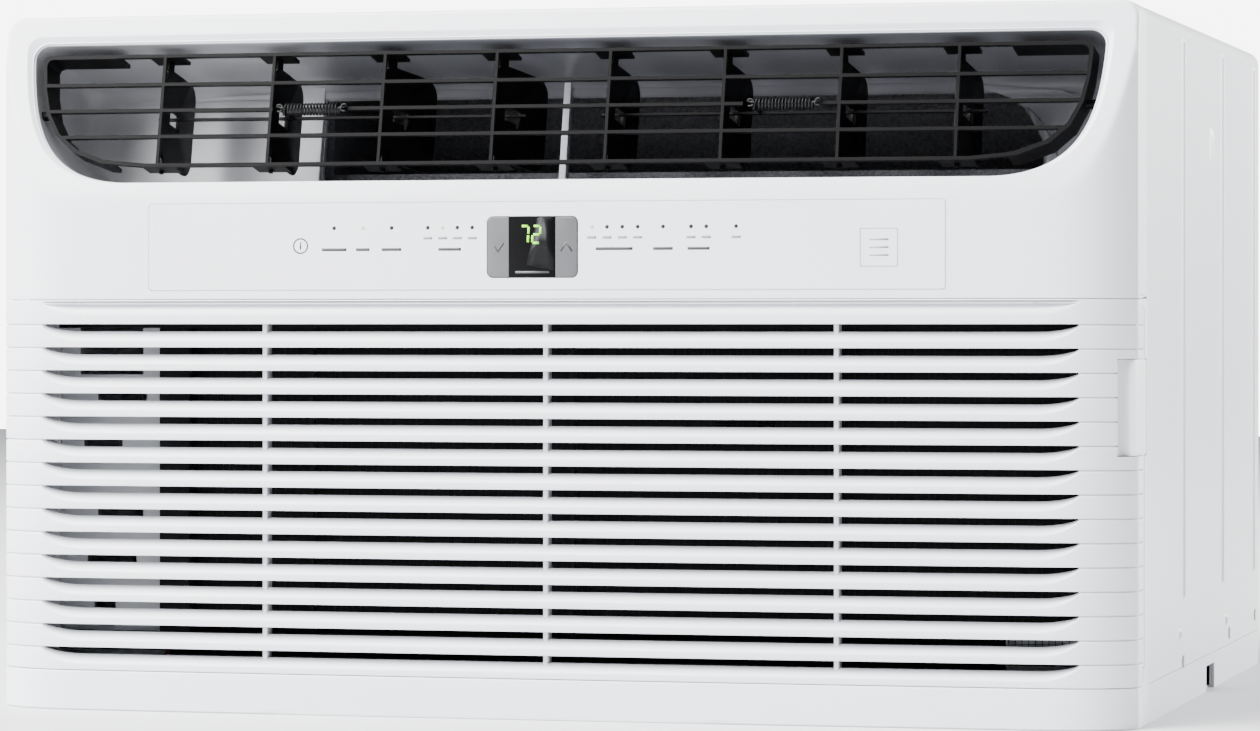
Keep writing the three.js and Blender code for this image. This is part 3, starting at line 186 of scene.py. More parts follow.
class StageSettings(bpy.types.PropertyGroup):
    """The camera and the light."""

    focal: bpy.props.FloatProperty(name="Focal length", description="Lens in millimetres", default=135.86)
    yaw: bpy.props.FloatProperty(name="Yaw", description="Turn of the view to the left",
                                 default=math.radians(14.64), subtype="ANGLE")
    place: bpy.props.FloatVectorProperty(name="Camera", description="Where the camera stands",
                                         default=(0.662, -2.612, 0.2045), subtype="XYZ")
    rise: bpy.props.FloatProperty(name="Rise", description="Vertical shift of the lens", default=-0.0335)
    key: bpy.props.FloatProperty(name="Key light", description="Strength of the soft key light",
                                 default=1650.0)
    fill: bpy.props.FloatProperty(name="Fill light", description="Strength of the soft fill light",
                                  default=360.0)
    world: bpy.props.FloatProperty(name="Room light", description="Strength of the surroundings",
                                   default=0.42)
    backdrop: bpy.props.FloatProperty(name="Backdrop", description="Brightness of the empty background",
                                      default=7.0, min=0.0)


SETTING_GROUPS = {
    "ac_panel": PanelSettings,
    "ac_grille": GrilleSettings,
    "ac_controls": ControlSettings,
    "ac_louver": LouverSettings,
    "ac_cabinet": CabinetSettings,
    "ac_finish": FinishSettings,
    "ac_stage": StageSettings,
}


# ---------- mesh helpers ----------
def quads_of(rows, columns, wrap_rows=False, wrap_columns=False, keep=None):
    """Quads of a grid of rows by columns points; wrapping joins the last to the first, and keep masks
    quads."""
    index = np.arange(rows * columns).reshape(rows, columns)
    if wrap_rows:
        index = np.vstack([index, index[:1]])
    if wrap_columns:
        index = np.hstack([index, index[:, :1]])
    quads = np.stack([index[:-1, :-1], index[:-1, 1:], index[1:, 1:], index[1:, :-1]], -1)
    return quads[keep] if keep is not None else quads.reshape(-1, 4)


def patch(points, toward=None, wrap_rows=False, wrap_columns=False, keep=None, capped=False):
    """A grid of points as (points, faces). Its faces are turned to look along toward, or outward if it is
    closed."""
    rows, columns = points.shape[:2]
    faces = [quads_of(rows, columns, wrap_rows, wrap_columns, keep)]
    flat = points.reshape(-1, 3)
    if capped:
        ring = np.arange(columns)
        faces.append(ring[::-1][None])
        faces.append((ring + (rows - 1) * columns)[None])
    corners = flat[faces[0]]
    across = np.cross(corners[:, 2] - corners[:, 0], corners[:, 3] - corners[:, 1])
    if toward is None:
        turned = (across * (corners.mean(1) - flat.mean(0))).sum() < 0
    else:
        turned = (across @ np.array(toward, float)).sum() < 0
    if turned:
        faces = [f[:, ::-1] for f in faces]
    return flat, faces


def gather(parts):
    """Several (points, faces) as one."""
    points, faces, start = [], [], 0
    for part_points, part_faces in parts:
        points.append(part_points)
        faces.extend(f + start for f in part_faces)
        start += len(part_points)
    return np.concatenate(points), faces


def mesh_object(name, parts, smooth=True):
    """A new mesh object from a list of (points, faces)."""
    points, faces = gather(parts)
    mesh = bpy.data.meshes.new(name)
    mesh.vertices.add(len(points))
    mesh.vertices.foreach_set("co", points.astype(np.float32).ravel())
    corners = np.concatenate([f.ravel() for f in faces])
    sizes = np.concatenate([np.full(len(f), f.shape[1]) for f in faces])
    mesh.loops.add(len(corners))
    mesh.loops.foreach_set("vertex_index", corners.astype(np.int32))
    mesh.polygons.add(len(sizes))
    mesh.polygons.foreach_set("loop_start", np.concatenate([[0], np.cumsum(sizes)[:-1]]).astype(np.int32))
    mesh.polygons.foreach_set("use_smooth", np.full(len(sizes), smooth))
    mesh.update(calc_edges=True)
    mesh.validate()
    made = bpy.data.objects.new(name, mesh)
    bpy.context.scene.collection.objects.link(made)
    return made


def soften(made, degrees=35):
    """Shades flat across edges sharper than an angle."""
    made.data.set_sharp_from_angle(angle=math.radians(degrees))


def apply_modifiers(made):
    """Makes the object's modifiers part of its mesh."""
    bpy.context.view_layer.update()
    shape = bpy.data.meshes.new_from_object(made.evaluated_get(bpy.context.evaluated_depsgraph_get()))
    made.modifiers.clear()
    made.data = shape


def thicken(made, wall):
    """Gives an open surface a wall on its inner side."""
    solid = made.modifiers.new("wall", "SOLIDIFY")
    solid.thickness = wall
    solid.offset = -1
    solid.use_even_offset = False
    apply_modifiers(made)


def dress(made, look, body, nodes=()):
    """Gives a piece its material, its body and the nodes that it stands for."""
    made.data.materials.clear()
    made.data.materials.append(look)
    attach(made, body)
    if nodes:
        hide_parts(*nodes)
    return made


def arc(start, end, count):
    """Angles in radians between two given in degrees."""
    return np.linspace(math.radians(start), math.radians(end), count)


def spaced(points, count, last=True):
    """Points at equal steps along a line through the given points."""
    steps = np.r_[0, np.cumsum(np.linalg.norm(np.diff(points, axis=0), axis=1))]
    at = np.linspace(0, steps[-1], count + (0 if last else 1))[: count]
    return np.stack([np.interp(at, steps, points[:, k]) for k in range(points.shape[1])], -1)


def rounded(half_x, half_z, radius, count=6):
    """A closed rounded rectangle about the origin, in [x, z], anticlockwise: four quarter circles."""
    centres = np.array([[1, 1], [-1, 1], [-1, -1], [1, -1]]) * [half_x - radius, half_z - radius]
    angles = np.array([arc(90 * q, 90 * (q + 1), count) for q in range(4)])
    return (centres[:, None] + radius * np.stack([np.cos(angles), np.sin(angles)], -1)).reshape(-1, 2)


def pushed(outline, y_front, y_back, round_off=0.0):
    """A closed prism: an [x, z] outline pushed along y, its front edge rounded by drawing in the
    outline."""
    middle = outline.mean(0)
    reach = np.abs(outline - middle).max(0)
    turn = arc(0, 90, 5) if round_off else np.array([math.pi / 2])
    rings = [middle + (outline - middle) * (1 - round_off * (1 - math.sin(t)) / reach) for t in turn]
    depths = [y_front + round_off * (1 - math.cos(t)) for t in turn]
    rings.append(outline)
    depths.append(y_back)
    points = np.stack([np.insert(r, 1, d, axis=1) for r, d in zip(rings, depths)])
    return patch(points, wrap_columns=True, capped=True)


def tube(path, radius, sides=10):
    """A round tube along a path: circles in the plane of two directions square to the path, capped."""
    path = np.asarray(path, float)
    along = np.gradient(path, axis=0)
    along /= np.linalg.norm(along, axis=1, keepdims=True)
    helper = np.where(np.abs(along[:, 2:]) > 0.9, [[1.0, 0.0, 0.0]], [[0.0, 0.0, 1.0]])
    side = np.cross(along, helper)
    side /= np.linalg.norm(side, axis=1, keepdims=True)
    other = np.cross(along, side)
    t = np.linspace(0, 2 * math.pi, sides, endpoint=False)
    ring = side[:, None] * np.cos(t)[None, :, None] + other[:, None] * np.sin(t)[None, :, None]
    return patch(path[:, None] + radius * ring, wrap_columns=True, capped=True)


def turned_about(profile, centre, axis, sides=32):
    """A [radius, height] profile turned about an axis through centre: (r cos t, r sin t, h)."""
    profile = np.asarray(profile, float)
    t = np.linspace(0, 2 * math.pi, sides, endpoint=False)
    radius, height = profile[:, :1], np.repeat(profile[:, 1:], sides, axis=1)
    planar = [radius * np.cos(t), radius * np.sin(t)]
    order = {"x": (height, planar[0], planar[1]), "y": (planar[0], height, planar[1]),
             "z": (planar[0], planar[1], height)}
    return patch(np.stack(order[axis], -1) + np.array(centre), wrap_columns=True, capped=True)


# ---------- materials ----------
def linear(text):
    """An sRGB hex value as linear red, green, blue and alpha."""
    channels = np.array([int(text[k: k + 2], 16) / 255 for k in (1, 3, 5)])
    bent = np.where(channels <= 0.04045, channels / 12.92, ((channels + 0.055) / 1.055) ** 2.4)
    return (*bent, 1.0)


def mixed(one, other, share):
    """A colour part of the way from one to another."""
    return tuple(a + (b - a) * share for a, b in zip(one, other))


def add(tree, kind, values=None, links=None, **settings):
    """Adds a shader node: settings are its own options, values fill its sockets and links join them."""
    made = tree.nodes.new(kind)
    for key, value in settings.items():
        setattr(made, key, value)
    for key, value in (values or {}).items():
        made.inputs[key].default_value = value
    for key, socket in (links or {}).items():
        tree.links.new(socket, made.inputs[key])
    return made


def blank(name):
    """A material with only an output and a Principled shader, and the object's own coordinates."""
    made = bpy.data.materials.new(name)
    made.use_nodes = True
    tree = made.node_tree
    tree.nodes.clear()
    shader = add(tree, "ShaderNodeBsdfPrincipled")
    add(tree, "ShaderNodeOutputMaterial", links={"Surface": shader.outputs["BSDF"]})
    place = add(tree, "ShaderNodeTexCoord").outputs["Object"]
    return made, tree, shader, place


def moulded(name, tint, roughness=0.4, grain=0.9 * MM, bump=0.05, mottle=0.02, ior=1.53, shine=0.5):
    """Injection-moulded plastic: an even colour with faint flow mottling, and a fine spark-eroded grain."""
    made, tree, shader, place = blank(name)
    flow = add(tree, "ShaderNodeTexNoise", {"Scale": 1 / (60 * MM), "Detail": 3.0}, {"Vector": place})
    grit = add(tree, "ShaderNodeTexNoise", {"Scale": 1 / grain, "Detail": 2.0}, {"Vector": place})
    base = linear(tint)
    shades = add(tree, "ShaderNodeValToRGB", links={"Fac": flow.outputs["Fac"]})
    shades.color_ramp.elements[0].position = 0.3
    shades.color_ramp.elements[0].color = mixed(base, (0, 0, 0, 1), mottle)
    shades.color_ramp.elements[1].position = 0.7
    shades.color_ramp.elements[1].color = mixed(base, (1, 1, 1, 1), mottle)
    tree.links.new(shades.outputs["Color"], shader.inputs["Base Color"])
    gloss = add(tree, "ShaderNodeMapRange", {"To Min": roughness - 0.05, "To Max": roughness + 0.07},
                {"Value": flow.outputs["Fac"]})
    tree.links.new(gloss.outputs["Result"], shader.inputs["Roughness"])
    relief = add(tree, "ShaderNodeBump", {"Strength": bump, "Distance": 0.1 * MM},
                 {"Height": grit.outputs["Fac"]})
    tree.links.new(relief.outputs["Normal"], shader.inputs["Normal"])
    shader.inputs["IOR"].default_value = ior
    shader.inputs["Specular IOR Level"].default_value = shine
    return made


def enamelled(name, tint, roughness=0.34):
    """Baked enamel on sheet steel: an orange-peel ripple a few millimetres across under a satin gloss."""
    made, tree, shader, place = blank(name)
    peel = add(tree, "ShaderNodeTexNoise", {"Scale": 1 / (3.5 * MM), "Detail": 1.0}, {"Vector": place})
    broad = add(tree, "ShaderNodeTexNoise", {"Scale": 1 / (110 * MM), "Detail": 3.0}, {"Vector": place})
    base = linear(tint)
    shades = add(tree, "ShaderNodeValToRGB", links={"Fac": broad.outputs["Fac"]})
    shades.color_ramp.elements[0].color = mixed(base, (0, 0, 0, 1), 0.03)
    shades.color_ramp.elements[1].color = base
    tree.links.new(shades.outputs["Color"], shader.inputs["Base Color"])
    gloss = add(tree, "ShaderNodeMapRange", {"To Min": roughness - 0.04, "To Max": roughness + 0.06},
                {"Value": peel.outputs["Fac"]})
    tree.links.new(gloss.outputs["Result"], shader.inputs["Roughness"])
    relief = add(tree, "ShaderNodeBump", {"Strength": 0.12, "Distance": 0.1 * MM},
                 {"Height": peel.outputs["Fac"]})
    tree.links.new(relief.outputs["Normal"], shader.inputs["Normal"])
    shader.inputs["IOR"].default_value = 1.5
    return made


def painted_shade_along(made, tint, start, end):
    """Mixes a finish's colour toward a darker one along the object's x axis between two places: painted
    shade.
    """
    tree = made.node_tree
    shader = next(n for n in tree.nodes if n.type == "BSDF_PRINCIPLED")
    split = add(tree, "ShaderNodeSeparateXYZ",
                links={"Vector": next(n for n in tree.nodes if n.type == "TEX_COORD").outputs["Object"]})
    share = add(tree, "ShaderNodeMapRange", {"From Min": start, "From Max": end},
                {"Value": split.outputs["X"]},
                interpolation_type="SMOOTHSTEP")
    mix = add(tree, "ShaderNodeMix", {7: linear(tint)},
              {0: share.outputs["Result"], 6: shader.inputs["Base Color"].links[0].from_socket},
              data_type="RGBA")
    tree.links.new(mix.outputs[2], shader.inputs["Base Color"])
    return made


def bare_metal(name, tint, roughness=0.32, stretch=(1, 1, 14), streak=2.5 * MM, metallic=1.0):
    """Rolled or drawn metal: fine streaks along one direction change its gloss and its shade."""
    made, tree, shader, place = blank(name)
    aligned = add(tree, "ShaderNodeMapping", links={"Vector": place})
    aligned.inputs["Scale"].default_value = tuple(1 / s for s in stretch)
    streaks = add(tree, "ShaderNodeTexNoise", {"Scale": 1 / streak, "Detail": 4.0},
                  {"Vector": aligned.outputs["Vector"]})
    base = linear(tint)
    shades = add(tree, "ShaderNodeValToRGB", links={"Fac": streaks.outputs["Fac"]})
    shades.color_ramp.elements[0].color = mixed(base, (0, 0, 0, 1), 0.18)
    shades.color_ramp.elements[1].color = mixed(base, (1, 1, 1, 1), 0.08)
    tree.links.new(shades.outputs["Color"], shader.inputs["Base Color"])
    gloss = add(tree, "ShaderNodeMapRange", {"To Min": roughness - 0.08, "To Max": roughness + 0.14},
                {"Value": streaks.outputs["Fac"]})
    tree.links.new(gloss.outputs["Result"], shader.inputs["Roughness"])
    shader.inputs["Metallic"].default_value = metallic
    return made


def cellular(name, tint, cell=1.4 * MM, roughness=0.85, bump=0.5):
    """Expanded foam or soft rubber: small packed cells dent a matt surface."""
    made, tree, shader, place = blank(name)
    cells = add(tree, "ShaderNodeTexVoronoi", {"Scale": 1 / cell}, {"Vector": place})
    base = linear(tint)
    shades = add(tree, "ShaderNodeValToRGB", links={"Fac": cells.outputs["Distance"]})
    shades.color_ramp.elements[0].color = mixed(base, (1, 1, 1, 1), 0.05)
    shades.color_ramp.elements[1].color = mixed(base, (0, 0, 0, 1), 0.3)
    tree.links.new(shades.outputs["Color"], shader.inputs["Base Color"])
    relief = add(tree, "ShaderNodeBump", {"Strength": bump, "Distance": 0.3 * MM},
                 {"Height": cells.outputs["Distance"]})
    tree.links.new(relief.outputs["Normal"], shader.inputs["Normal"])
    shader.inputs["Roughness"].default_value = roughness
    return made


def lit(name, tint, strength):
    """A lit segment behind a smoked window, its brightness varied by a fine noise."""
    made, tree, shader, place = blank(name)
    flicker = add(tree, "ShaderNodeTexNoise", {"Scale": 1 / (2 * MM)}, {"Vector": place})
    base = linear(tint)
    shades = add(tree, "ShaderNodeValToRGB", links={"Fac": flicker.outputs["Fac"]})
    shades.color_ramp.elements[0].color = mixed(base, (0, 0, 0, 1), 0.15)
    shades.color_ramp.elements[1].color = base
    tree.links.new(shades.outputs["Color"], shader.inputs["Base Color"])
    tree.links.new(shades.outputs["Color"], shader.inputs["Emission Color"])
    shader.inputs["Emission Strength"].default_value = strength
    return made


looks = {}


def make_looks(finish):
    """Every finish of the object, named for the real material, or for the painted shade or reflection that it
    carries.
    """
    looks.update(
        white=moulded("moulded_white_abs", finish.white),
        film=moulded("printed_polyester_film", finish.white, roughness=0.36, grain=0.5 * MM, bump=0.02),
        # painted shade: the duct grey darkens to #6E6F75 from x = -165 mm to -125 mm and stays dark further
        # right, also on the parts that share this finish
        duct=painted_shade_along(moulded("grey_polystyrene_painted_shade", finish.duct_grey, roughness=0.34, bump=0.03),
                          "#6E6F75",
                          -165 * MM, -125 * MM),
        black=moulded("moulded_black_abs", finish.black, roughness=0.42, bump=0.05, mottle=0.001, shine=0.06),
        key=moulded("moulded_grey_keys", finish.key_grey, roughness=0.4),
        window=moulded("smoked_acrylic_window", "#020203", roughness=0.32, bump=0.0, mottle=0.001, ior=1.49,
                       shine=0.1),
        pale_duct=moulded("moulded_pale_grey_polystyrene", "#B5B6BA", roughness=0.35, bump=0.03),
        edge=moulded("film_edge_shadow", "#A9ABAF", roughness=0.6),
        legend=moulded("grey_screen_ink", "#1E1F21", roughness=0.5, mottle=0.002),
        caption=moulded("light_screen_ink", "#77797D", roughness=0.5),
        faint_ink=moulded("faint_screen_ink", "#3C3D40", roughness=0.5),
        # a lighter wedge laid over the window: painted reflection
        sheen=moulded("smoked_acrylic_sheen", "#0A0B0D", roughness=0.32, bump=0.0, mottle=0.001, ior=1.49,
                      shine=0.12),
        ink=moulded("dark_screen_ink", finish.print_grey, roughness=0.5),
        pale_ink=moulded("pale_screen_ink", finish.pale_print, roughness=0.5),
        dot=moulded("black_indicator_lens", "#101113", roughness=0.25, mottle=0.002),
        warm_dot=lit("lit_indicator_lens", "#B5B79A", 0.25),
        digits=lit("lit_green_segments", finish.digits, 1.3),
        steel=enamelled("baked_enamel_steel", finish.steel_paint),
        zinc=bare_metal("galvanised_steel", "#A9ADB0", roughness=0.36, stretch=(6, 6, 6), streak=9 * MM),
        bright=bare_metal("zinc_plated_screw", "#C9CCCF", roughness=0.24),
        fins=bare_metal("rolled_aluminium_fin", "#8F9498", roughness=0.4, stretch=(1, 1, 30)),
        # painted shade: the fins behind the grille are near-black so that the slots read dark
        dark_fins=moulded("fin_in_painted_shade", "#050608", roughness=0.5, bump=0.05, mottle=0.001,
                          shine=0.1),
        copper=bare_metal("drawn_copper_tube", "#B4693F", roughness=0.3, stretch=(8, 8, 8)),
        wire=moulded("oil_blacked_spring_wire", "#0A0B0C", roughness=0.4, bump=0.0, mottle=0.001, shine=0.2),
        paint=enamelled("black_stove_paint", "#141517", roughness=0.38),
        foam=cellular("black_expanded_foam", "#55565C"),
        white_foam=cellular("white_expanded_polystyrene", "#DADBDD", cell=3 * MM, bump=0.3),
        rubber=cellular("moulded_black_rubber", "#161617", cell=0.8 * MM, roughness=0.7, bump=0.15),
        board=moulded("green_solder_mask", "#1E5B38", roughness=0.35),
        # near-black: partly the net's own dark colour, partly painted shade in the slots behind the grille
        net=moulded("woven_net_with_painted_shade", "#08090A", roughness=0.6, grain=0.4 * MM, mottle=0.002,
                    shine=0.1),
    )


# ---------- the fascia's own shape ----------
def upright(settings, x):
    """Depth of the upright fascia: a shallow parabola, and a power curve where each corner rolls back."""
    roll = np.clip((np.abs(x) - HALF + settings.corner_width) / settings.corner_width, 0, None)
    return FRONT + settings.bow * (x / HALF) ** 2 + settings.corner_depth * roll ** settings.corner_power


def leaning(settings, x, z):
    """Depth of the leaning bezel: the same parabola, sheared back by the tilt above the crease."""
    return FRONT + settings.bow * (x / HALF) ** 2 + (z - settings.crease_height) * math.tan(settings.tilt)


def fascia(settings, x, z):
    """The rearmost of the two, joined softly: (a + b + sqrt((a - b)^2 + c^2)) / 2."""
    a, b = upright(settings, x), leaning(settings, x, z)
    return (a + b + np.sqrt((a - b) ** 2 + settings.crease_blend ** 2)) / 2


def outlet_sections(settings, inset):
    """The outlet's outline in four sections of [x, up the slope]: quarter circles above, cubic curves
    below."""
    wide = HALF - settings.outlet_side - inset
    high = settings.outlet_low + settings.outlet_tall - inset
    low = settings.outlet_low + inset * 0.15
    corner, foot = 8 * MM, 60.6 * MM
    turn = arc(90, 0, 10)
    bend = np.stack([wide - corner + corner * np.cos(turn), high - corner + corner * np.sin(turn)], -1)
    ends = np.array([[wide, high - corner], [wide - 2.6 * MM, low + (high - low) * 0.35],
                     [wide - 12.6 * MM, low],
                     [wide - foot, low]])
    t = np.linspace(0, 1, 60)[1:, None]
    curve = ((1 - t) ** 3 * ends[0] + 3 * t * (1 - t) ** 2 * ends[1] + 3 * t ** 2 * (1 - t) * ends[2]
             + t ** 3 * ends[3])
    right = np.vstack([bend, curve])
    left = (right * [-1, 1])[::-1]
    return [np.array([left[-1], right[0]]), right, np.array([right[-1], left[0]]), left]


SECTION_COUNTS = (220, 110, 220, 110)


def ring_of(sections):
    """One closed ring of points with the same count along each section."""
    return np.concatenate([spaced(s, n, last=False) for s, n in zip(sections, SECTION_COUNTS)])


def on_slope(settings, ring, depth):
    """[x, up the slope] at a depth behind the bowed bezel plane, as [x, y, z]."""
    x, up = ring[:, 0], ring[:, 1]
    sin, cos = math.sin(settings.tilt), math.cos(settings.tilt)
    y = FRONT + settings.bow * (x / HALF) ** 2 + up * sin + depth * cos
    return np.stack([x, y, settings.crease_height + up * cos - depth * sin], -1)


def panel_boundary(settings):
    """The upper panel's outline in [x, z], in the same four sections: top, right side, lower seam, left
    side."""
    r, top, seam = settings.top_corner, TOP, GRILLE_TOP
    turn = arc(90, 0, 10)
    right = np.vstack([np.stack([HALF - r + r * np.cos(turn), top - r + r * np.sin(turn)], -1),
                       [[HALF, seam]]])
    left = (right * [-1, 1])[::-1]
    return ring_of([np.array([left[-1], right[0]]), right, np.array([right[-1], left[0]]), left])


def outward(ring):
    """Unit normals of a closed clockwise ring in the plane."""
    along = np.roll(ring, -1, 0) - np.roll(ring, 1, 0)
    normal = np.stack([-along[:, 1], along[:, 0]], -1)
    return normal / np.linalg.norm(normal, axis=1, keepdims=True)


def upper_panel(settings):
    """A ring-shaped grid from the outlet's rim to the panel's edges. Between them each ring is a blend of
    the two outlines laid on the fascia; past the edge an arc turns it back, then it runs straight to the
    cabinet joint."""
    rim = ring_of(outlet_sections(settings, 0))
    rim_xz = on_slope(settings, rim, 0)[:, [0, 2]]
    edge = panel_boundary(settings)
    normal = outward(edge)
    seam = np.abs(edge[:, 1] - GRILLE_TOP) < 1e-6
    radius = np.where(seam, settings.seam_radius, settings.edge_radius)[:, None]
    step = 0.2 * MM
    near, far = edge - normal * step * 2, edge - normal * step
    slope = (fascia(settings, *far.T) - fascia(settings, *near.T)) / step
    start = np.arctan(np.clip(slope, 0, 2))[:, None]
    inner_edge = edge - normal * radius * (1 - np.sin(start))
    rows = []
    wall_depths = np.array([6.0, 4.0]) * MM
    inset_ring = ring_of(outlet_sections(settings, settings.rim_width))
    rows += [on_slope(settings, inset_ring, d) for d in wall_depths]
    for t in arc(80, 0, 4):
        share = 1 - (1 - math.cos(t)) * 0.12
        ring = rim + (inset_ring - rim) * share
        rows.append(on_slope(settings, ring, settings.rim_depth * (share + 0.25 * math.sin(t))))
    for share in (0.6, 0.3, 0.1):
        rows.append(on_slope(settings, rim + (inset_ring - rim) * share, settings.rim_depth * share * 0.9))
    blend = np.concatenate([[0.0, 0.012], np.linspace(0.03, 0.98, 34), [1.0]])
    for t in blend:
        xz = rim_xz * (1 - t) + inner_edge * t
        rows.append(np.stack([xz[:, 0], fascia(settings, xz[:, 0], xz[:, 1]), xz[:, 1]], -1))
    edge_y = fascia(settings, *inner_edge.T)[:, None]
    for t in np.linspace(0, 1, 6)[1:]:
        angle = start + (math.pi / 2 - start) * t
        xz = inner_edge + normal * radius * (np.sin(angle) - np.sin(start))
        y = edge_y + radius * (np.cos(start) - np.cos(angle))
        rows.append(np.hstack([xz[:, :1], y, xz[:, 1:]]))
    last = rows[-1]
    rear = np.where(seam, last[:, 1] + 4 * MM, JOINT - 0.3 * MM)
    round_back = 0.8 * MM
    for t in np.linspace(0, 1, 6)[1:]:
        ring = last.copy()
        ring[:, 1] = last[:, 1] + (rear - round_back - last[:, 1]) * t
        rows.append(ring)
    for t in arc(30, 90, 3):
        ring = last.copy()
        ring[:, 0] -= normal[:, 0] * round_back * (1 - math.cos(t))
        ring[:, 2] -= normal[:, 1] * round_back * (1 - math.cos(t))
        ring[:, 1] = rear - round_back * (1 - math.sin(t))
        rows.append(ring)
    grid = np.stack(rows)
    ahead = np.roll(grid, -1, 1)
    middle = (grid[:-1] + ahead[:-1] + grid[1:] + ahead[1:]) / 4
    low, high = display_block()
    behind_keys = ((middle[..., [0, 2]] > low - 3 * MM) & (middle[..., [0, 2]] < high + 3 * MM)).all(-1)
    return patch(grid, toward=(0, -1, 0), wrap_columns=True, keep=~behind_keys)


def plan_path(settings, rear, count=120):
    """The way round the front from one side's rear to the other's: the upright fascia, an arc at each front
    corner and a straight side, as points and outward normals in [x, y]."""
    radius = settings.edge_radius
    step = 0.2 * MM
    slope = (upright(settings, np.array([HALF])) - upright(settings, np.array([HALF - step])))[0] / step
    start = math.atan(slope)
    reach = HALF - radius * (1 - math.sin(start))
    flat = HALF - settings.corner_width
    x = np.concatenate([np.linspace(0, flat, 26)[:-1], np.linspace(flat, reach, 34)])
    y = upright(settings, x)
    angles = np.linspace(start, math.pi / 2, 7)[1:]
    corner_x = reach + radius * (np.sin(angles) - math.sin(start))
    corner_y = y[-1] + radius * (math.cos(start) - np.cos(angles))
    side_y = np.linspace(corner_y[-1], rear, 8)[1:]
    right = np.stack([np.r_[x, corner_x, np.full(7, HALF)], np.r_[y, corner_y, side_y]], -1)
    return np.vstack([(right * [-1, 1])[:0:-1], right])


def path_normals(path):
    """Unit normals to the right of a line in the plane."""
    along = np.gradient(path, axis=0)
    normal = np.stack([along[:, 1], -along[:, 0]], -1)
    return normal / np.linalg.norm(normal, axis=1, keepdims=True)


def sheet_on_path(path, z, inset):
    """Points of path drawn in along its normals: inset is a grid of rows (heights) by columns (places on
    the path)."""
    normal = path_normals(path)
    xy = path[None] - normal[None] * inset[..., None]
    return np.concatenate([xy, np.broadcast_to(z, inset.shape)[..., None]], -1)


def edge_steps(low, high, radius, lip, middle):
    """Heights and insets of a strip whose two long edges are rounded and turn inward by lip."""
    turn = arc(0, 90, 5)
    heights = np.r_[low, low + radius * (1 - np.cos(turn)), middle, high - radius * (1 - np.cos(turn[::-1])),
                    high]
    insets = np.r_[lip, radius * (1 - np.sin(turn)), np.zeros(len(middle)), radius * (1 - np.sin(turn[::-1])),
                   lip]
    return heights, insets


def lower_bar(settings):
    """The bar below the grille: the plan path carried up a profile with rounded long edges."""
    path = plan_path(settings, JOINT - 0.3 * MM)
    z, inset = edge_steps(0.0, GRILLE_FOOT, 0.9 * MM, 4 * MM, np.array([3.0, 4.2, 4.6, 10.0]) * MM)
    grid = np.repeat(inset[:, None], len(path), axis=1)
    ledge = (np.abs(z - 2.6 * MM) < 2.0 * MM) & (inset < 1e-6)
    spans = ((path[:, 0] < -150 * MM) | (path[:, 0] > 90 * MM)) & (path[:, 1] < FRONT + 20 * MM)
    grid -= 0.35 * MM * (ledge[:, None] & spans[None])
    return patch(sheet_on_path(path, z[:, None], grid), toward=(0, -1, 0))


def side_strips(settings, corner, handle):
    """The panel's upright strips behind the grille's ends, left open where the filter's grip passes."""
    parts = []
    for side in (-1, 1):
        spans = [(GRILLE_FOOT, GRILLE_TOP, None)]
        if side > 0:
            slot = WRAP_END + 4.2 * MM
            slot_low, slot_high = filter_low.z - 0.3 * MM, filter_high.z + 0.3 * MM
            spans = [(GRILLE_FOOT, slot_low, None), (slot_low, handle[0], slot), handle,
                     (handle[1], slot_high, slot), (slot_high, GRILLE_TOP, None)]
        for low, high, front_limit in spans:
            z = np.unique(np.r_[np.linspace(low, high, 24),
                                np.clip(GRILLE_TOP - corner * np.linspace(0, 1, 9), low, high),
                                np.clip(GRILLE_FOOT + corner * np.linspace(0, 1, 9), low, high)])
            into = np.clip(np.maximum(z - GRILLE_TOP + corner, GRILLE_FOOT + corner - z), 0, corner)
            front = WRAP_END + 0.3 * MM - (corner - np.sqrt(corner ** 2 - into ** 2))
            if front_limit is not None:
                front = np.full(len(z), front_limit)
            rear = JOINT - 0.3 * MM
            turn = arc(0, 90, 4)
            radius = settings.seam_radius
            y = np.concatenate([front[:, None] + radius * (1 - np.cos(turn)),
                                front[:, None] + (rear - 0.8 * MM - front)[:, None] * np.linspace(0.2, 1, 4),
                                np.full((len(z), 1), rear)], axis=1)
            inset = np.r_[radius * (1 - np.sin(turn)), np.zeros(4), 0.8 * MM]
            x = np.broadcast_to(side * (HALF - inset), y.shape)
            parts.append(patch(np.stack([x, y, np.broadcast_to(z[:, None], y.shape)], -1),
                               toward=(side, 0, 0)))
    return parts


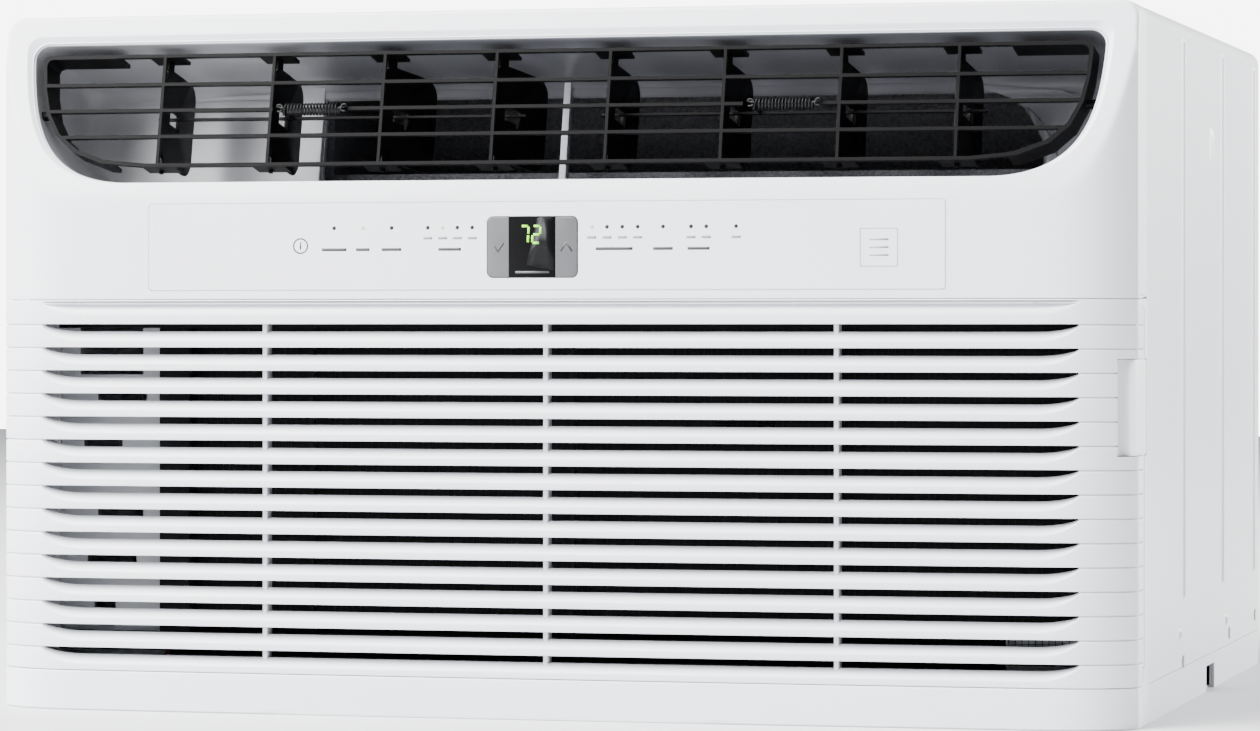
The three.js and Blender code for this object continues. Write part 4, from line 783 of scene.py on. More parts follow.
def grille_slats(panel, grille):
    """The slatted face on a grid of path places by heights. Each slot's rows close toward its top by a
    factor e(x), a quarter of a superellipse at the tips that leaves a thin engraved line beyond them; quads
    in the gap are left out. The sill falls back by depth (1 - s)^1.5 from its front edge to the gap."""
    path = plan_path(panel, WRAP_END)
    steps = np.r_[0, np.cumsum(np.linalg.norm(np.diff(path, axis=0), axis=1))]
    middle = steps[-1] / 2
    tip = HALF - grille.tip
    dense = np.r_[np.linspace(0, tip - grille.scoop, 20),
                  tip - grille.scoop * np.cos(arc(0, 90, 22))[1:] ** 1.6]
    dense = np.r_[dense, np.linspace(tip + 0.3 * MM, HALF - 2 * MM, 14)]
    x_sorted = path[len(path) // 2:, 0]
    reach = np.interp(dense, x_sorted[: 60], steps[len(path) // 2:][: 60] - middle)
    side = np.linspace(reach[-1], middle, 12)[1:]
    edge = np.array([0.9, 0.6, 0.35, 0.1, 0.0]) * panel.seam_radius
    half_u = np.r_[reach, side[:-1], middle - edge]
    lip_u = np.r_[np.zeros(len(reach) + len(side) - 1),
                  panel.seam_radius - np.sqrt(np.clip(panel.seam_radius ** 2
                                                      - (panel.seam_radius - edge) ** 2, 0, None))]
    half_u = np.r_[half_u, middle]
    lip_u = np.r_[lip_u, 4 * MM]
    u = np.r_[-half_u[:0:-1], half_u]
    lip = np.r_[lip_u[:0:-1], lip_u]
    place = np.stack([np.interp(u + middle, steps, path[:, k]) for k in (0, 1)], -1)
    normal_of = path_normals(path)
    normal = np.stack([np.interp(u + middle, steps, normal_of[:, k]) for k in (0, 1)], -1)
    x = place[:, 0]
    beyond = np.clip((np.abs(x) - tip + grille.scoop) / grille.scoop, 0, 1)
    e = np.maximum((1 - beyond ** 2.2) ** 0.75, 0.0)
    outside = np.abs(u) > np.interp(tip, x_sorted[:60], steps[len(path) // 2:][:60] - middle) - 0.4 * MM
    e = np.where(outside, 0.12, np.maximum(e, 0.12))
    deep = np.where(outside, 1.1 * MM, grille.sill_depth * np.maximum(e, 0.15) ** 0.4)
    heights, insets, hole_rows = [], [], []
    grip_low, grip_high, _ = grip_span()
    top = GRILLE_TOP - grille.head
    zeros = np.zeros(len(u))
    radius = panel.seam_radius
    turn = arc(0, 90, 5)
    for t in turn:
        heights.append(zeros + GRILLE_TOP - 0.3 * MM - radius * (1 - math.cos(t)))
        insets.append(zeros + radius * (1 - math.sin(t)))
    heights.insert(0, heights[0])
    insets.insert(0, zeros + 4 * MM)
    sill_share = np.linspace(0, 1, 8)
    for slot in range(-1, grille.slots):
        ztop = top - slot * grille.pitch
        open_gap = slot >= 0
        total = grille.gap + grille.sill
        if slot < 0:
            ztop = GRILLE_TOP - 0.9 * MM
        low_edge = ztop - total * e
        back_edge = ztop - grille.gap * e
        if open_gap:
            for drop, inset in ((-0.5 * MM, 0.0), (-0.12 * MM, 0.12 * MM), (0.0, 0.5 * MM)):
                heights.append(zeros + ztop - drop)
                insets.append(np.minimum(zeros + inset, deep))
            heights.append(zeros + ztop)
            insets.append(np.minimum(zeros + 3 * MM, deep))
            hole_rows.append(len(heights) - 1)
            heights.append(back_edge)
            insets.append(deep)
        else:
            back_edge = zeros + ztop
            low_edge = ztop - grille.sill * 1.5 * e
            heights.append(back_edge)
            insets.append(zeros)
        depth_here = deep if open_gap else np.where(outside, 0.0, 4.6 * MM * np.maximum(e, 0.1))
        for s in sill_share[1:] if open_gap else sill_share:
            heights.append(back_edge + (low_edge - back_edge) * s)
            insets.append(depth_here * (1 - s) ** 1.5)
        heights.append(low_edge - 0.5 * MM)
        insets.append(zeros)
        below = ztop - (grille.pitch if slot >= 0 else ztop - top) + 0.7 * MM
        for target in (grip_high, grip_low):
            if below < target < ztop - 1.5 * MM:
                heights.append(np.clip(target, below, heights[-1] - 0.02 * MM))
                insets.append(zeros)
    foot = GRILLE_FOOT + 0.3 * MM
    for t in turn[::-1]:
        heights.append(zeros + foot + radius * (1 - math.cos(t)))
        insets.append(zeros + radius * (1 - math.sin(t)))
    heights.append(heights[-1])
    insets.append(zeros + 4 * MM)
    z = np.stack(heights)
    inset = np.maximum(np.stack(insets), lip[None])
    into = np.clip(np.maximum(z - GRILLE_TOP + grille.corner, GRILLE_FOOT + grille.corner - z), 0,
                   grille.corner)
    draw = grille.corner - np.sqrt(grille.corner ** 2 - into ** 2)
    share = np.clip((np.abs(u) - (middle - 12 * MM)) / (12 * MM), 0, 1)[None]
    moved = u[None] - np.sign(u)[None] * draw * share
    shifted = np.stack([np.interp(moved + middle, steps, path[:, k]) for k in (0, 1)], -1)
    xy = shifted - normal[None] * inset[..., None]
    points = np.concatenate([xy, z[..., None]], -1)
    keep = np.ones((len(z) - 1, len(u) - 1), bool)
    between = ~outside[:-1] & ~outside[1:]
    for row in hole_rows:
        keep[row, between] = False
    centre_z = (z[:-1, :-1] + z[1:, 1:]) / 2
    centre_x = ((x[:-1] + x[1:]) / 2)[None]
    keep &= ~((centre_x > HALF - 9.3 * MM) & (centre_z > grip_low) & (centre_z < grip_high))
    return patch(points, toward=(0, -1, 0), keep=keep)


def slab(low, high, radius=0.4 * MM):
    """A closed block between two corners with its upright edges and front rounded, used for small square
    parts."""
    low, high = np.array(low, float), np.array(high, float)
    middle = (low + high) / 2
    half = (high - low) / 2
    outline = rounded(half[0], half[2], min(radius, half[0] * 0.9, half[2] * 0.9), 4) + middle[[0, 2]]
    return pushed(outline, low[1], high[1], min(radius, half[1]) * 0.6)


def grip_span():
    """The lowest and highest z, and the rearmost y, of the filter's grip in the panel's side."""
    low = 138 * MM
    return low - 0.6 * MM, low + 48.6 * MM, WRAP_END + 11.9 * MM


def display_block():
    """Lower and upper corners, in [x, z], of the block that holds both keys and the window."""
    down_low, up_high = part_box("key_down")[0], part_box("key_up")[1]
    return np.array([down_low.x, down_low.z]), np.array([up_high.x, up_high.z])


def block_outline(low, high, radius, square=()):
    """A rounded rectangle between two corners; the sides named in square keep sharp corners."""
    middle, half = (low + high) / 2, (high - low) / 2
    ring = rounded(half[0], half[1], radius, 8)
    for side in square:
        near = ring[:, 0] * side > half[0] - radius
        ring[near, 0] = side * half[0]
        ring[near, 1] = np.sign(ring[near, 1]) * np.where(np.abs(ring[near, 1]) > half[1] - radius * 0.99,
                                                          half[1], half[1] - radius)
    return ring + middle


def stroke(points, width, front, back):
    """A thin closed bar along a line of [x, z] points: both offsets of the line, square at its ends."""
    points = np.asarray(points, float)
    along = np.gradient(points, axis=0)
    along /= np.linalg.norm(along, axis=1, keepdims=True)
    side = np.stack([-along[:, 1], along[:, 0]], -1) * width / 2
    bent = np.ones(len(points))
    if len(points) > 2:
        before, after = np.diff(points, axis=0)[:-1], np.diff(points, axis=0)[1:]
        cosine = (before * after).sum(1) / np.linalg.norm(before, axis=1) / np.linalg.norm(after, axis=1)
        bent[1:-1] = 1 / np.sqrt((1 + cosine) / 2)
    side *= bent[:, None]
    left, right = points + side, points - side
    rings = [np.insert(r, 1, y, axis=1) for r, y in ((left, front), (right, front), (right, back),
                                                     (left, back))]
    grid = np.stack(rings, axis=1)
    return patch(grid, wrap_columns=True, capped=True)


def loop(middle, radius, width, front, back, count=40):
    """A thin closed ring round a middle point: [r cos t, r sin t] at two radii and two depths."""
    t = np.linspace(0, 2 * math.pi, count, endpoint=False)
    circle = np.stack([np.cos(t), np.sin(t)], -1)
    rings = [np.insert(np.asarray(middle) + circle * (radius + o * width / 2), 1, y, axis=1)
             for o, y in ((-1, front), (1, front), (1, back), (-1, back))]
    return patch(np.stack(rings, axis=1), wrap_rows=True, wrap_columns=True)


def frame_ring(outline, width, front, back):
    """A thin closed band inside an [x, z] outline."""
    middle = (outline.max(0) + outline.min(0)) / 2
    inner = middle + (outline - middle) * (1 - width / np.abs(outline - middle).max(0))
    rings = [np.insert(r, 1, y, axis=1) for r, y in ((outline, front), (inner, front), (inner, back),
                                                     (outline, back))]
    return patch(np.stack(rings, axis=1), wrap_rows=True, wrap_columns=True)


SEGMENTS = {"a": ((0, 1), (1, 1)), "b": ((1, 1), (1, 0.5)), "c": ((1, 0.5), (1, 0)), "d": ((1, 0), (0, 0)),
            "e": ((0, 0), (0, 0.5)), "f": ((0, 0.5), (0, 1)), "g": ((0, 0.5), (1, 0.5))}


def digit(shown, corner, controls, front, back):
    """The lit segments of one digit: bars between the corners and the middles of a rectangle, slightly
    slanted."""
    parts = []
    for key in shown:
        ends = np.array(SEGMENTS[key], float)
        ends = ends * 0.94 + 0.03
        middle = ends.mean(0)
        ends = middle + (ends - middle) * 0.82
        ends = ends * [controls.digit_wide - controls.stroke, controls.digit_tall - controls.stroke]
        ends[:, 0] += ends[:, 1] * 0.06
        parts.append(stroke(ends + corner, controls.stroke, front, back))
    return parts


class AC_OT_controls(bpy.types.Operator):
    """Builds the printed film, its marks, the display window with its digits and the two keys"""

    bl_idname = "room_ac.controls"
    bl_label = "Controls"

    def execute(self, context):
        panel, controls = context.scene.ac_panel, context.scene.ac_controls
        low, high = display_block()
        outer = block_outline(np.array([film_low.x, film_low.z]), np.array([film_high.x, film_high.z]),
                              1.0 * MM)
        inner = block_outline(low - 0.35 * MM, high + 0.35 * MM, controls.corner + 0.35 * MM)
        outer, inner = (np.vstack([r, r[:1]]) for r in (outer, inner))
        rings = [inner + (outer - inner) * share for share in np.linspace(0, 1, 40)]
        rings = [np.concatenate([spaced(r[k: k + 2], 30, last=False) if k % 8 == 7 else r[k: k + 1]
                                 for k in range(32)]) for r in rings]
        grid = np.stack([np.insert(r, 1, fascia(panel, *r.T) - 0.12 * MM, axis=1) for r in rings])
        film = mesh_object("control_film", [patch(grid, toward=(0, -1, 0), wrap_columns=True)])
        thicken(film, 0.4 * MM)
        soften(film)
        dress(film, looks["film"], "root", ["control_overlay"])
        front, back = FRONT - 0.16 * MM, FRONT + 0.4 * MM

        def place(parts):
            """Lays flat marks on the bowed fascia."""
            return [(points + (fascia(panel, points[:, 0], points[:, 2]) - FRONT)[:, None] * [0, 1, 0], faces)
                    for points, faces in parts]

        edge = block_outline(np.array([film_low.x, film_low.z]), np.array([film_high.x, film_high.z]),
                             1.0 * MM)
        edge = spaced(np.vstack([edge, edge[:1]]), 400, last=False)
        inner = (edge - edge.mean(0)) * (1 - 0.5 * MM / np.abs(edge - edge.mean(0)).max(0)) + edge.mean(0)
        band = [np.insert(r, 1, fascia(panel, *r.T) + d, axis=1)
                for r, d in ((edge, -0.14 * MM), (inner, -0.14 * MM), (inner, 0.2 * MM), (edge, 0.2 * MM))]
        line = mesh_object("film_edge", [patch(np.stack(band, axis=1), wrap_rows=True, wrap_columns=True)])
        dress(line, looks["edge"], "root")

        dots, warm, legends, captions = [], [], [], []
        dot_z = film_low.z + controls.dot_height

        def row(start, step=0.0, count=1, glowing=None, captioned=True):
            """A row of indicators: first place and step in mm, and which one is lit."""
            for k in range(count):
                at = (start + step * k) * MM
                bead = turned_about([[0.05 * MM, back], [controls.dot_radius, back],
                                     [controls.dot_radius, front + 0.02 * MM],
                                     [0.7 * controls.dot_radius, front - 0.05 * MM],
                                     [0.05 * MM, front - 0.08 * MM]], (at, 0, dot_z), "y", 20)
                (warm if k == glowing else dots).extend(place([bead]))
                if captioned:
                    word = np.array([[at - 2.4 * MM, 0], [at + 2.4 * MM, 0]])
                    word = word + [0, film_low.z + controls.caption_height]
                    captions.extend(place([stroke(spaced(word, 5), 1.3 * MM, front, back)]))

        def name_bar(middle, wide):
            """A bar that stands for a printed name: middle and width in mm."""
            word = np.array([[-wide / 2, 0], [wide / 2, 0]]) * MM
            word += [middle * MM, film_low.z + controls.legend_height]
            legends.extend(place([stroke(spaced(word, 9), 1.5 * MM, front, back)]))

        row(-113.0, step=15.7, count=3, glowing=1, captioned=False)
        row(-61.9, step=8.0, count=4, glowing=1)
        row(26.1, step=8.1, count=4, glowing=0)
        row(63.8, captioned=False)
        row(78.5, step=8.0, count=2)
        row(102.1)
        name_bar(-113, wide=13.5)
        name_bar(-97.3, wide=7.4)
        name_bar(-81.6, wide=10.6)
        name_bar(-50, wide=12.2)
        name_bar(38, wide=19.6)
        name_bar(63.8, wide=10.4)
        name_bar(82.5, wide=11.6)
        sign = np.array([-131.5 * MM, film_low.z + controls.legend_height + 2.0 * MM])
        marks = place([loop(sign, 3.8 * MM, 0.75 * MM, front, back),
                       stroke([sign - [0, 2.0 * MM], sign + [0, 2.0 * MM]], 0.75 * MM, front, back)])
        badge = np.array([176.0 * MM, film_low.z + 21.4 * MM])
        square = block_outline(badge - 9.8 * MM, badge + 9.8 * MM, 0.6 * MM)
        bars = [stroke([badge + [-5 * MM, k * 4 * MM], badge + [5 * MM, k * 4 * MM]], 0.9 * MM, front,
                       back) for k in (-1, 0, 1)]
        pale = place([frame_ring(square, 0.45 * MM, front, back)] + bars)
        for name, parts, look in (("indicator_dots", dots, "dot"), ("lit_indicators", warm, "warm_dot"),
                                  ("legend_marks", legends, "legend"), ("caption_marks", captions, "caption"),
                                  ("power_mark", marks, "ink"), ("square_mark", pale, "pale_ink")):
            dress(mesh_object(name, parts), looks[look], "root")

        for side, name, body in ((-1, "key_down", "button_down"), (1, "key_up", "button_up")):
            key_low, key_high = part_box(name)
            outline = block_outline(np.array([key_low.x, key_low.z]), np.array([key_high.x, key_high.z]),
                                    controls.corner, square=(-side,))
            face = FRONT - 0.35 * MM
            key = mesh_object(name + "_cap", [pushed(outline, face, FRONT + 4 * MM, 0.5 * MM)])
            soften(key)
            dress(key, looks["key"], body, [name])
            middle = outline.mean(0) * [0, 1] + [(key_low.x + key_high.x) / 2, 0]
            arrow = np.array([[-1, -0.75 * side], [0, 0.75 * side], [1, -0.75 * side]]) * 3.0 * MM
            dress(mesh_object(name + "_arrow", [stroke(middle + arrow, 0.9 * MM, face - 0.03 * MM,
                                                       FRONT + 1 * MM)]),
                  looks["ink"], body)
        outline = block_outline(np.array([window_low.x, window_low.z]),
                                np.array([window_high.x, window_high.z]), 0.2 * MM)
        glass = mesh_object("display_glass", [pushed(outline, FRONT - 0.3 * MM, FRONT + 3 * MM, 0.15 * MM)])
        soften(glass)
        dress(glass, looks["window"], "root", ["display_window"])
        face = FRONT - 0.33 * MM
        shown = []
        start = np.array([window_low.x + 5.6 * MM, window_low.z + 17.4 * MM])
        for k, segments in enumerate(("abc", "abged")):
            shown += digit(segments, start + [k * (controls.digit_wide + 0.9 * MM), 0], controls, face, FRONT)
        dress(mesh_object("display_digits", shown), looks["digits"], "root")
        # a lighter wedge across the window's upper right: painted reflection
        wide = (window_high.x - window_low.x) / 2
        corner = np.array([window_high.x - 0.2 * MM, window_high.z - 0.2 * MM])
        tall = window_high.z - window_low.z - 0.4 * MM
        sheen = np.array([corner, corner - [wide * 0.75, 0], corner - [wide * 1.25, tall * 0.8],
                          corner - [0, tall * 0.9]])
        dress(mesh_object("display_sheen", [pushed(spaced(np.vstack([sheen, sheen[:1]]), 40, last=False),
                                                   FRONT - 0.315 * MM, FRONT)]),
              looks["sheen"], "root")
        caption = np.array([[window_low.x + 3 * MM, window_low.z + 2.6 * MM],
                            [window_high.x - 3 * MM, window_low.z + 2.6 * MM]])
        dress(mesh_object("display_caption", [stroke(caption, 1.1 * MM, face, FRONT)]), looks["faint_ink"],
              "root")
        return {"FINISHED"}


def in_slope(panel, points):
    """Points of the leaning frame, as x, depth and up the slope, in the object's own axes."""
    points = np.asarray(points, float)
    sin, cos = math.sin(panel.tilt), math.cos(panel.tilt)
    x, depth, up = np.moveaxis(points, -1, 0)
    return np.stack([x, FRONT + depth * cos + up * sin, panel.crease_height - depth * sin + up * cos], -1)


def leaned(panel, part):
    """A part of the leaning frame put in the object's own axes."""
    points, faces = part
    return in_slope(panel, points), faces


class AC_OT_louver(bpy.types.Operator):
    """Builds the eight vanes and the two springs of the louver"""

    bl_idname = "room_ac.louver"
    bl_label = "Louver"

    def execute(self, context):
        panel, louver = context.scene.ac_panel, context.scene.ac_louver
        up_mid = panel.outlet_low + panel.outlet_tall / 2
        tall = panel.outlet_tall / 2 - panel.rim_width - 5.4 * MM
        for name in vane_names:
            low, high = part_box(name)
            turn = math.asin(min(max((high.x - low.x - 2.6 * MM) / (41 * MM), 0.0), 0.9))
            pivot_x = low.x + 0.8 * MM * math.cos(turn) + 5 * MM * math.sin(turn)
            if turn < 0.05:
                pivot_x = (low.x + high.x) / 2 if turn < 0.03 else low.x + 1.3 * MM
            front, rear, up = -5 * MM, 38 * MM, tall - 5.2 * MM
            radius = louver.blade_round
            ring = rounded((rear - front) / 2, up, radius, 10) + [(rear + front) / 2, 0]
            ring[:, 0] = np.where(ring[:, 0] < 0, np.maximum(ring[:, 0], front), ring[:, 0])
            start = np.argmin(np.abs(np.arctan2(ring[:, 1], ring[:, 0] - 10 * MM)))
            outer = spaced(np.vstack([np.roll(ring, -start, 0), ring[start]]), 96, last=False)
            hole = rounded(6.0 * MM, 3.8 * MM, 0.6 * MM, 4) + [10 * MM, 0]
            first = np.argmin(np.abs(np.arctan2(hole[:, 1], hole[:, 0] - 10 * MM)))
            inner = spaced(np.vstack([np.roll(hole, -first, 0), hole[first]]), 96, last=False)
            half = louver.blade / 2
            loops = [np.insert(r, 0, t, axis=1) for r,
                     t in ((outer * [0.985, 0.985], half), (inner, half), (inner, -half),
                                                             (outer * [0.985, 0.985],
                                                              -half), (outer, -half * 0.5),
                                                             (outer, half * 0.5))]
            blade = [patch(np.stack(loops), wrap_rows=True, wrap_columns=True)]
            for end in (-1, 1):
                lows, highs = sorted((end * (up - 1 * MM), end * (tall - 0.2 * MM)))
                slabs = slab((-half, -2.4 * MM, lows), (half, 4.6 * MM, highs), 0.2 * MM)
                pin = turned_about([[0.05 * MM, end * (tall - 3 * MM)], [1.2 * MM, end * (tall - 3 * MM)],
                                    [1.2 * MM, end
                                     * (tall + 1.4 * MM)], [0.05 * MM,
                                                            end * (tall + 1.4 * MM)]], (0, 0, 0), "z", 16)
                blade += [slabs, pin]
            points, faces = gather(blade)
            cos_t, sin_t = math.cos(turn), math.sin(turn)
            spun = np.stack([points[:, 0] * cos_t + points[:, 1] * sin_t,
                             points[:, 1] * cos_t - points[:, 0] * sin_t, points[:, 2]], -1)
            spun += [pivot_x, 14 * MM, up_mid]
            made = mesh_object(name + "_blade", [(in_slope(panel, spun), faces)])
            soften(made, 40)
            dress(made, looks["black"], name, [name])
        for body, node in (("tie_left", "spring_left"), ("tie_right", "spring_right")):
            low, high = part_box(node)
            depth = 5.6 * MM
            inner = (low.x + 1.2 * MM, high.x - 2.0 * MM)
            t = np.linspace(0, 1, louver.coils * 14 + 1)
            angle = t * louver.coils * 2 * math.pi
            coil = np.stack([inner[0] + (inner[1] - inner[0]) * t, depth - louver.coil * np.cos(angle),
                             up_mid + louver.coil * np.sin(angle)], -1)
            h = arc(0, 300, 14)
            hook_radius = 1.9 * MM
            left = np.stack([inner[0] - 3.0 * MM - hook_radius * np.cos(h), depth - louver.coil + 0 * h,
                             up_mid + hook_radius * np.sin(h)], -1)[::-1]
            right = np.stack([inner[1] + 3.0 * MM + hook_radius * np.cos(h), depth - louver.coil + 0 * h,
                              up_mid + hook_radius * np.sin(h)], -1)
            path = np.vstack([left[:-1], [[inner[0] - 1.0 * MM, depth - louver.coil, up_mid]], coil,
                              [[inner[1] + 1.0 * MM, depth - louver.coil, up_mid]], right[1:]])
            made = mesh_object(node + "_wire", [leaned(panel, tube(path, louver.wire, 8))])
            dress(made, looks["wire"], "louver", [node])
            made.parent = None
            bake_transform(made)
        return {"FINISHED"}


class AC_OT_cabinet(bpy.types.Operator):
    """Builds the painted cabinet: two sides and a top folded from one sheet, with embossed beads"""

    bl_idname = "room_ac.cabinet"
    bl_label = "Cabinet"

    def execute(self, context):
        cabinet = context.scene.ac_cabinet
        low_z, top = wrap_low.z, wrap_high.z
        side = HALF - 0.8 * MM
        beads = [(y * MM, cabinet.bead_low, top - cabinet.bead_inset) for y in (-66, 91, 231)]
        beads += [(-80 * MM, pan_high.z + 1 * MM, 42 * MM), (106 * MM, 31 * MM, 39 * MM)]
        z_marks = [np.linspace(low_z, top - cabinet.fold, 40)]
        y_marks = [np.linspace(wrap_low.y, wrap_high.y, 30)]
        for y, low, high in beads:
            y_marks.append(y + np.linspace(-1.4, 1.4, 13) * cabinet.bead_half)
            for end in (low, high):
                z_marks.append(end + np.linspace(-1.4, 1.4, 13) * cabinet.bead_half)
        oval_y, oval_low, oval_high = 45 * MM, 297 * MM, 309 * MM
        y_marks.append(oval_y + np.linspace(-2, 2, 17) * cabinet.bead_half)
        z_marks.append(np.linspace(oval_low - 8 * MM, oval_high + 8 * MM, 21))
        z = np.unique(np.round(np.clip(np.concatenate(z_marks), low_z, top - cabinet.fold), 5))
        y = np.unique(np.round(np.clip(np.concatenate(y_marks), wrap_low.y, wrap_high.y), 5))
        turn = arc(0, 90, 7)[1:]
        fold_x = side - cabinet.fold + cabinet.fold * np.cos(turn)
        fold_z = top - cabinet.fold + cabinet.fold * np.sin(turn)
        across = np.linspace(fold_x[-1], -fold_x[-1], 24)[1:-1]
        right = np.stack([np.r_[np.full(len(z), side), fold_x], np.r_[z, fold_z]], -1)
        path = np.vstack([right, np.stack([across, np.full(len(across), top)], -1), (right * [-1, 1])[::-1]])
        outward_x = np.r_[np.ones(len(z)), np.cos(turn), np.zeros(len(across)), -np.cos(turn)[::-1],
                          -np.ones(len(z))]
        outward_z = np.r_[np.zeros(len(z)), np.sin(turn), np.ones(len(across)), np.sin(turn)[::-1],
                          np.zeros(len(z))]
        yy, zz = np.meshgrid(y, path[:, 1])
        rise = np.zeros(yy.shape)
        on_side = np.abs(np.repeat(outward_x[:, None], len(y), 1)) > 0.99

        def swell(distance, half):
            """A raised cosine: 1 at the middle and 0 past half."""
            share = np.clip(distance / half, 0, 1)
            return 0.5 + 0.5 * np.cos(math.pi * share)

        for at, low, high in beads:
            past = np.maximum(np.maximum(low + cabinet.bead_half - zz, zz - high + cabinet.bead_half), 0)
            rise = np.maximum(rise, cabinet.bead_rise * swell(np.hypot(yy - at, past), cabinet.bead_half))
        past = np.maximum(np.maximum(oval_low - zz, zz - oval_high), 0)
        rise = np.maximum(rise, 1.6 * MM * swell(np.hypot(yy - oval_y, past * 0.9), 5.5 * MM))
        rise -= 1.2 * MM * swell(np.hypot(yy + 132 * MM, zz - 24.5 * MM), 4 * MM)
        rise = np.where(on_side, rise, 0)
        points = np.stack([path[:, :1] + rise * outward_x[:, None], yy, zz + rise * outward_z[:, None]], -1)
        made = mesh_object("cabinet_sheet", [patch(points, toward=(0, 0, 1))])
        if made.data.polygons[0].normal.x < 0:
            made.data.flip_normals()
        thicken(made, cabinet.sheet)
        soften(made, 40)
        dress(made, looks["steel"], "root", ["cabinet_wrap"])
        return {"FINISHED"}


class AC_OT_duct(bpy.types.Operator):
    """Builds the moulded outlet duct: tapering walls, a rounded rear and a wall with the blower's throat"""

    bl_idname = "room_ac.duct"
    bl_label = "Outlet duct"

    def execute(self, context):
        panel = context.scene.ac_panel
        deep, draft, round_in = 73 * MM, 4 * MM, 9 * MM
        inset_at = lambda d: panel.rim_width - 0.2 * MM + draft * d / deep
        outline = lambda d, more=0.0: ring_of(outlet_sections(panel, inset_at(d) + more))
        rows = [np.insert(outline(d), 1, d, axis=1) for d in np.linspace(3.2 * MM, deep - round_in, 14)]
        for t in arc(0, 90, 7)[1:]:
            depth = deep - round_in + round_in * math.sin(t)
            rows.append(np.insert(outline(deep, round_in * (1 - math.cos(t))), 1, depth, axis=1))
        up_mid = panel.outlet_low + panel.outlet_tall / 2
        left, right = -HALF + 160 * MM, HALF - 50 * MM
        low, high = up_mid - 30 * MM, up_mid + 29 * MM
        bend = 56 * MM
        turn = arc(90, 0, 24)
        corner = np.stack([right - bend + bend * np.cos(turn), high - bend + bend * np.sin(turn)], -1)
        sections = [np.array([[left, high], corner[0]]), np.vstack([corner, [[right, low]]]),
                    np.array([[right, low], [left, low]]), np.array([[left, low], [left, high]])]
        throat = ring_of(sections)
        edge = rows[-1][:, [0, 2]]
        for share in np.linspace(0, 1, 8)[1:]:
            ring = edge + (throat - edge) * share
            rows.append(np.insert(ring, 1, deep, axis=1))
        for t in arc(0, 90, 4)[1:]:
            rows.append(np.insert(throat, 1, deep + 3 * MM * (1 - math.cos(t)) + 1 * MM * math.sin(t),
                                  axis=1))
        points = in_slope(panel, np.stack(rows))
        points[..., 1] += panel.bow * (np.clip(points[..., 0] / HALF, -1,
                                               1) ** 2) * np.linspace(1, 0, len(rows))[:, None] ** 0.5
        made = mesh_object("outlet_duct_skin", [patch(points, toward=(0, -1, 0), wrap_columns=True)])
        thicken(made, 1.8 * MM)
        soften(made, 45)
        dress(made, looks["duct"], "root", ["outlet_duct"])
        strip_x = -10 * MM
        strip = leaned(panel, slab((strip_x - 1.8 * MM, deep - 4 * MM, low - 4 * MM),
                                   (strip_x + 1.8 * MM, deep + 2 * MM, high + 6 * MM)))
        post = leaned(panel, slab((left - 15 * MM, deep - 2.2 * MM, low - 2 * MM),
                                  (left - 1 * MM, deep + 0.5 * MM, high + 2 * MM), 1.0 * MM))
        dress(mesh_object("duct_strip", [strip]), looks["white"], "root")
        dress(mesh_object("duct_post", [post]), looks["pale_duct"], "root")
        return {"FINISHED"}


